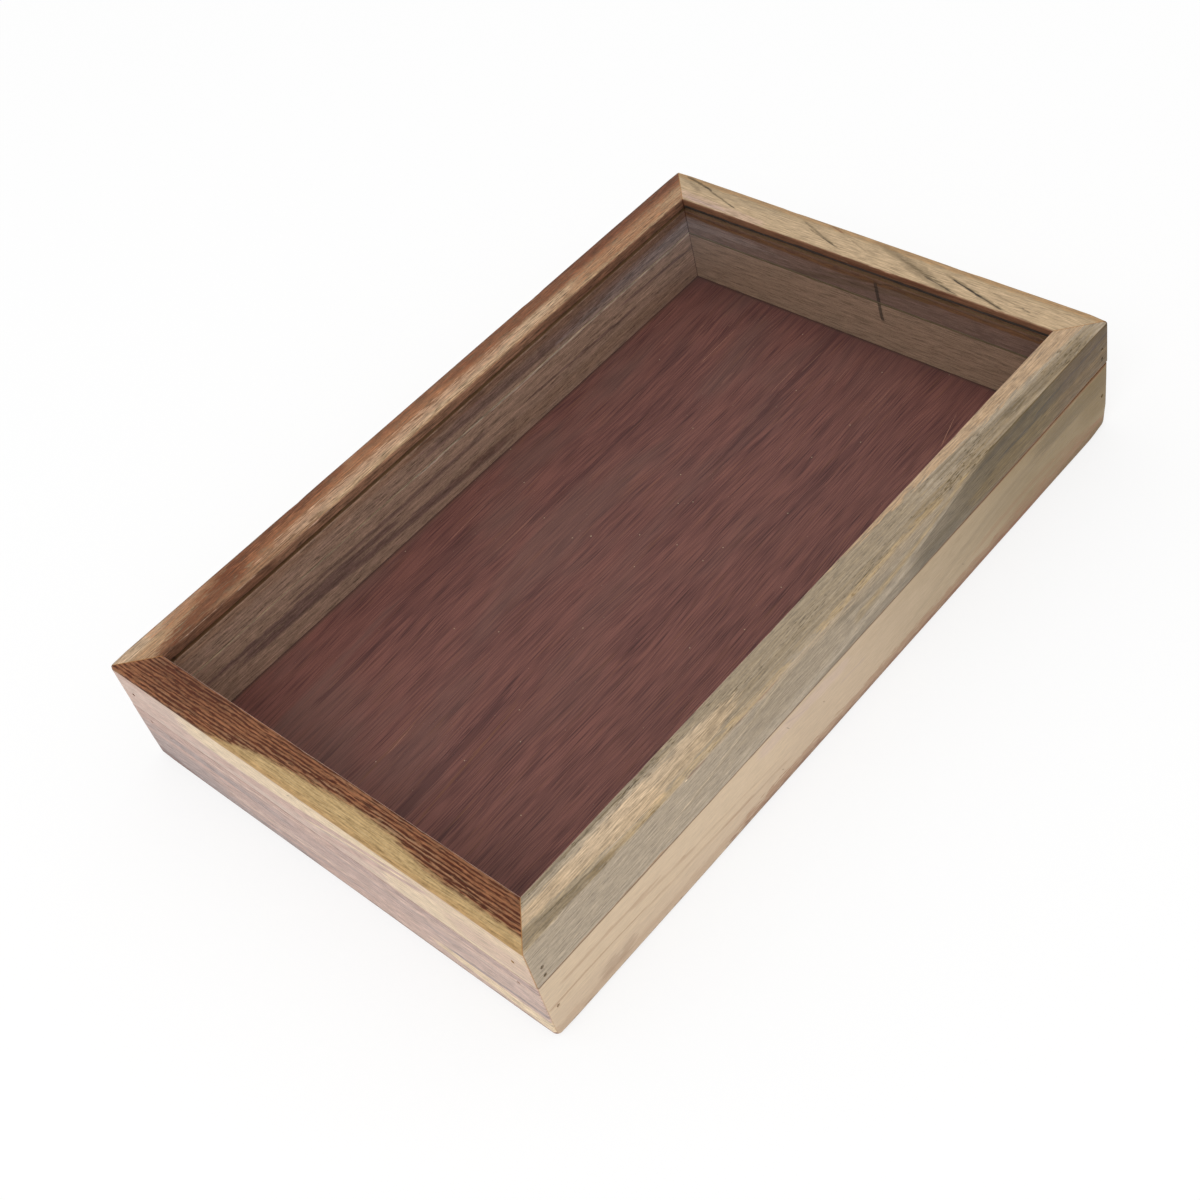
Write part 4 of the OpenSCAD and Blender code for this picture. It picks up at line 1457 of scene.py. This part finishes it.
def floor_material():
    """Dark red-brown veneer with fine straight grain along the box and a few light scratches, with painted
    shade towards the back wall and in the crease along the walls.
    """
    colours = palette()
    material, shader = new_material("floor veneer")
    coordinates = shader.put("ShaderNodeTexCoord")
    x, y, _ = shader.split(coordinates.outputs["Object"])
    across = (x + BOX.half_width) * (1 / MM)
    along = (y + BOX.half_length) * (1 / MM)
    drift = shader.noise(along * 0.006, across * 0.02, 2.0) - 0.5
    flow = across + along * 0.02 + drift * 16.0
    bands = shader.noise(along * 0.012, flow * 0.16, 5.0, detail=5.0, roughness=0.7)
    fibre = shader.noise(along * 0.05, flow * 2.2, 4.0, detail=1.0, roughness=0.8) - 0.5
    dashes = shader.noise(along * 0.08, flow * 2.0, 9.0, detail=1.0) + (bands - 0.5) * 0.6
    share = bands.rise(0.25, 0.75) * 0.4 + fibre * 2.8 + 0.15 - along.rise(110.0, 20.0) * 0.12
    colour = shader.mix(share.math("MAXIMUM", 0.0), colours["veneer"], colours["veneer_dark"])
    colour = shader.mix(dashes.rise(0.58, 0.76) * 0.4, colour, colours["veneer_dark"])
    browned = shader.noise(along * 0.016, flow * 0.05, 37.0, detail=3.0).rise(0.44, 0.66)
    colour = shader.mix(browned * across.rise(190.0, 20.0) * 0.4, colour, colours["wall_dark"])
    red_line = shader.noise(along * 0.04, flow * 2.4, 41.0, detail=1.0).rise(0.6, 0.75) * 0.4
    colour = shader.mix(red_line, colour, colours["russet"])
    fine = shader.noise(along * 0.14, flow * 1.2, 45.0, detail=3.0) - 0.5
    slow = shader.noise(along * 0.02, flow * 0.12, 49.0) - 0.5
    colour = streaked(shader, Grain(along, slow, fine, fibre), across, colour, FLOOR_STREAKS, colours)
    speck = shader.noise(along * 0.9, across * 0.9, 29.0, detail=0.0).rise(0.875, 0.9)
    colour = shader.mix(speck * 0.8, colour, colours["cream"])
    to_end = BOX.half_length / MM - BOX.wall / MM - (along - BOX.half_length / MM).math("ABSOLUTE")
    to_side = BOX.half_width / MM - BOX.wall / MM - (across - BOX.half_width / MM).math("ABSOLUTE")
    # Painted shade: the veneer darkens over its last 19 mm before the back wall, as if the wall shaded it.
    colour = shader.mix(along.rise(278.0, 297.0) * 0.35, colour, colours["veneer_dark"])
    # Painted shade: dark ink in the crease where the floor meets the walls, fading out over 1.4 mm.
    edge = (to_end.math("MINIMUM", to_side) + fibre * 2.0).rise(1.4, 0.0)
    colour = shader.mix(edge * 0.6, colour, colours["ink"])
    bump = shader.put("ShaderNodeBump", {"Strength": 0.4, "Distance": 0.0001, "Height": fibre})
    principled = shader.put("ShaderNodeBsdfPrincipled", {
        "Base Color": colour,
        "Roughness": 0.45 - fibre * 0.3,
        "Normal": bump.outputs[0],
        "Specular IOR Level": 0.25,
    })
    finish_surface(shader, principled)
    return material


def glass_material():
    """Clear glass. Lamps and light between the walls pass straight through it, a little dimmed."""
    material, shader = new_material("clear glass")
    coordinates = shader.put("ShaderNodeTexCoord")
    x, y, _ = shader.split(coordinates.outputs["Object"])
    smear = shader.noise(x * 30.0, y * 30.0, 3.0, detail=3.0)
    principled = shader.put("ShaderNodeBsdfPrincipled", {
        "Base Color": chip(250, 252, 251),
        "Roughness": smear.rise(0.45, 0.8) * 0.02,
        "Transmission Weight": 1.0,
        "IOR": 1.5,
    })
    through = shader.put("ShaderNodeBsdfTransparent", {"Color": chip(243, 246, 245)})
    path = shader.put("ShaderNodeLightPath")
    lamp_ray = Reading(shader, path.outputs["Is Shadow Ray"])
    between = lamp_ray.math("MAXIMUM", path.outputs["Is Diffuse Ray"])
    mixed = shader.put("ShaderNodeMixShader", {0: between, 1: principled.outputs[0], 2: through.outputs[0]})
    finish_surface(shader, mixed)
    return material


def steel_material():
    """Dull bright steel with a little rust."""
    material, shader = new_material("brad steel")
    coordinates = shader.put("ShaderNodeTexCoord")
    x, y, z = shader.split(coordinates.outputs["Object"])
    rust = shader.noise(x * 2500.0, y * 2500.0, z * 2500.0, detail=3.0)
    colour = shader.mix(rust.rise(0.42, 0.66), chip(112, 106, 100), chip(92, 58, 38))
    principled = shader.put("ShaderNodeBsdfPrincipled", {
        "Base Color": colour,
        "Roughness": 0.45 + rust * 0.3,
        "Metallic": 0.9,
    })
    finish_surface(shader, principled)
    return material


def build_boards(part, outline):
    """Makes the four boards of the base or the lid in place of the frame's plain ones."""
    sizes = bpy.context.scene.specimen_sizes
    kind = "rail" if part == "lid" else "wall"
    for side in SIDES:
        node = f"{part}_{side}_{kind}"
        name = f"{part}_{side}_board"
        piece = add_object(name, board_mesh(name, side, outline, sizes))
        cut_away(piece, brad_holes(sizes, part))
        smooth(piece.data)
        piece.data.materials.clear()
        piece.data.materials.append(board_material(part, side))
        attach(piece, part)
        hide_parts(node)


def dress(node, material):
    """Gives a node of the frame its finish."""
    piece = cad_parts[node]
    piece.data.materials.clear()
    piece.data.materials.append(material)


class SPECIMEN_OT_base(Operator):
    """Builds the four walls of the base"""

    bl_idname = "specimen.base"
    bl_label = "Base Walls"

    def execute(self, context):
        build_boards("base", base_outline)
        return {"FINISHED"}


class SPECIMEN_OT_lid(Operator):
    """Builds the four rails of the lid"""

    bl_idname = "specimen.lid"
    bl_label = "Lid Rails"

    def execute(self, context):
        build_boards("lid", lid_outline)
        return {"FINISHED"}


class SPECIMEN_OT_floor(Operator):
    """Gives the floor panel its veneer"""

    bl_idname = "specimen.floor"
    bl_label = "Floor Veneer"

    def execute(self, context):
        dress("floor_panel", floor_material())
        return {"FINISHED"}


class SPECIMEN_OT_pane(Operator):
    """Glazes the lid"""

    bl_idname = "specimen.pane"
    bl_label = "Glass Pane"

    def execute(self, context):
        dress("pane", glass_material())
        return {"FINISHED"}


class SPECIMEN_OT_brads(Operator):
    """Gives all the brads their steel"""

    bl_idname = "specimen.brads"
    bl_label = "Brads"

    def execute(self, context):
        steel = steel_material()
        for node in ("base_side_brads", "base_end_brads", "lid_side_brads", "lid_end_brads"):
            dress(node, steel)
        return {"FINISHED"}


def add_camera(stage):
    """The camera, at the place that its azimuth, elevation and roll give."""
    azimuth, elevation, roll = stage.camera_azimuth, stage.camera_elevation, stage.camera_roll
    level = math.cos(elevation)
    ahead = Vector((-math.sin(azimuth) * level, math.cos(azimuth) * level, -math.sin(elevation)))
    right = Vector((math.cos(azimuth), math.sin(azimuth), 0))
    up = right.cross(ahead)
    turned_right = right * math.cos(roll) + up * math.sin(roll)
    turned_up = turned_right.cross(ahead)
    data = bpy.data.cameras.new("camera")
    data.sensor_width = 36
    data.lens = stage.lens
    data.clip_start = 0.01
    camera = add_object("camera", data)
    turn = Matrix((turned_right, turned_up, -ahead)).transposed().to_4x4()
    camera.matrix_world = Matrix.Translation(stage.camera_place) @ turn
    bpy.context.scene.camera = camera


def add_floor(stage):
    """A round white floor that the camera sees as pure white, and that keeps the box's shadow."""
    mesh = bmesh.new()
    bmesh.ops.create_circle(mesh, cap_ends=True, segments=96, radius=stage.floor_radius)
    made = bpy.data.meshes.new("studio_floor")
    mesh.to_mesh(made)
    mesh.free()
    floor = add_object("studio_floor", made)
    floor.location.z = -FLOOR_DROP
    material, shader = new_material("studio floor")
    path = shader.put("ShaderNodeLightPath")
    seen = Reading(shader, path.outputs["Is Camera Ray"])
    seen = seen.math("MAXIMUM", path.outputs["Is Glossy Ray"])
    seen = seen.math("MAXIMUM", path.outputs["Is Transmission Ray"])
    colour = shader.mix(seen, (0.82, 0.82, 0.82), (1.0, 1.0, 1.0))
    shaded = shader.put("ShaderNodeBsdfDiffuse", {"Color": colour})
    white = shader.put("ShaderNodeEmission", {"Color": (1.0, 1.0, 1.0), "Strength": 1.0})
    mixed = shader.put("ShaderNodeMixShader", {0: seen * 0.75, 1: shaded.outputs[0], 2: white.outputs[0]})
    finish_surface(shader, mixed)
    made.materials.append(material)


def light_world(stage):
    """Even light from all round. Shiny surfaces see a pale backdrop under a dark ceiling."""
    world = bpy.data.worlds.new("studio")
    bpy.context.scene.world = world
    world.use_nodes = True
    world.node_tree.nodes.clear()
    shader = Shader(world.node_tree)
    coordinates = shader.put("ShaderNodeTexCoord")
    _, _, up = shader.split(coordinates.outputs["Generated"])
    bpy.context.scene.view_settings.view_transform = "Standard"
    backdrop = up.rise(math.sin(CEILING_CLOSED), math.sin(CEILING_STARTS)) * BACKDROP + CEILING
    path = shader.put("ShaderNodeLightPath")
    camera_ray = path.outputs["Is Camera Ray"]
    shiny_ray = path.outputs["Is Glossy Ray"]
    reflected = shader.point(*(backdrop * tint for tint in BACKDROP_TINT))
    even = shader.mix(shiny_ray, (stage.sky,) * 3, reflected)
    colour = shader.mix(camera_ray, even, (1.0, 1.0, 1.0))
    background = shader.put("ShaderNodeBackground", {"Color": colour, "Strength": 1.0})
    out = shader.put("ShaderNodeOutputWorld")
    shader.feed(out.inputs["Surface"], background.outputs[0])


def add_key_light(stage):
    """A large soft light above the camera's side."""
    data = bpy.data.lights.new("key", "AREA")
    data.shape = "DISK"
    data.size = KEY_WIDTH
    data.energy = stage.key
    light = add_object("key", data)
    light.location = KEY_PLACE
    light.rotation_euler = (-light.location).to_track_quat("-Z", "Y").to_euler()


class SPECIMEN_OT_stage(Operator):
    """Sets up the camera, the white floor and the light"""

    bl_idname = "specimen.stage"
    bl_label = "Stage"

    def execute(self, context):
        stage = context.scene.specimen_stage
        add_camera(stage)
        add_floor(stage)
        light_world(stage)
        add_key_light(stage)
        return {"FINISHED"}


class SPECIMEN_PT_panel(Panel):
    """Lists the steps that build the box"""

    bl_label = "Specimen Box"
    bl_idname = "SPECIMEN_PT_panel"
    bl_space_type = "VIEW_3D"
    bl_region_type = "UI"
    bl_category = "Specimen Box"

    def draw(self, context):
        layout = self.layout
        for operator in OPERATORS:
            layout.operator(operator.bl_idname)
        for group in ("specimen_sizes", "specimen_colours", "specimen_stage"):
            column = layout.column()
            values = getattr(context.scene, group)
            for name in values.__annotations__:
                column.prop(values, name)


OPERATORS = (
    SPECIMEN_OT_stage,
    SPECIMEN_OT_base,
    SPECIMEN_OT_lid,
    SPECIMEN_OT_floor,
    SPECIMEN_OT_pane,
    SPECIMEN_OT_brads,
)
GROUPS = {
    "specimen_colours": SPECIMEN_PG_colours,
    "specimen_sizes": SPECIMEN_PG_sizes,
    "specimen_stage": SPECIMEN_PG_stage,
}


def register():
    for group in GROUPS.values():
        bpy.utils.register_class(group)
    for operator in OPERATORS:
        bpy.utils.register_class(operator)
    bpy.utils.register_class(SPECIMEN_PT_panel)
    for name, group in GROUPS.items():
        setattr(bpy.types.Scene, name, PointerProperty(type=group))


def unregister():
    for name in GROUPS:
        delattr(bpy.types.Scene, name)
    bpy.utils.unregister_class(SPECIMEN_PT_panel)
    for operator in reversed(OPERATORS):
        bpy.utils.unregister_class(operator)
    for group in GROUPS.values():
        bpy.utils.unregister_class(group)


def main():
    register()
    bpy.ops.specimen.stage()
    bpy.ops.specimen.base()
    bpy.ops.specimen.lid()
    bpy.ops.specimen.floor()
    bpy.ops.specimen.pane()
    bpy.ops.specimen.brads()
    bpy.context.view_layer.update()


if __name__ == "__main__":
    main()
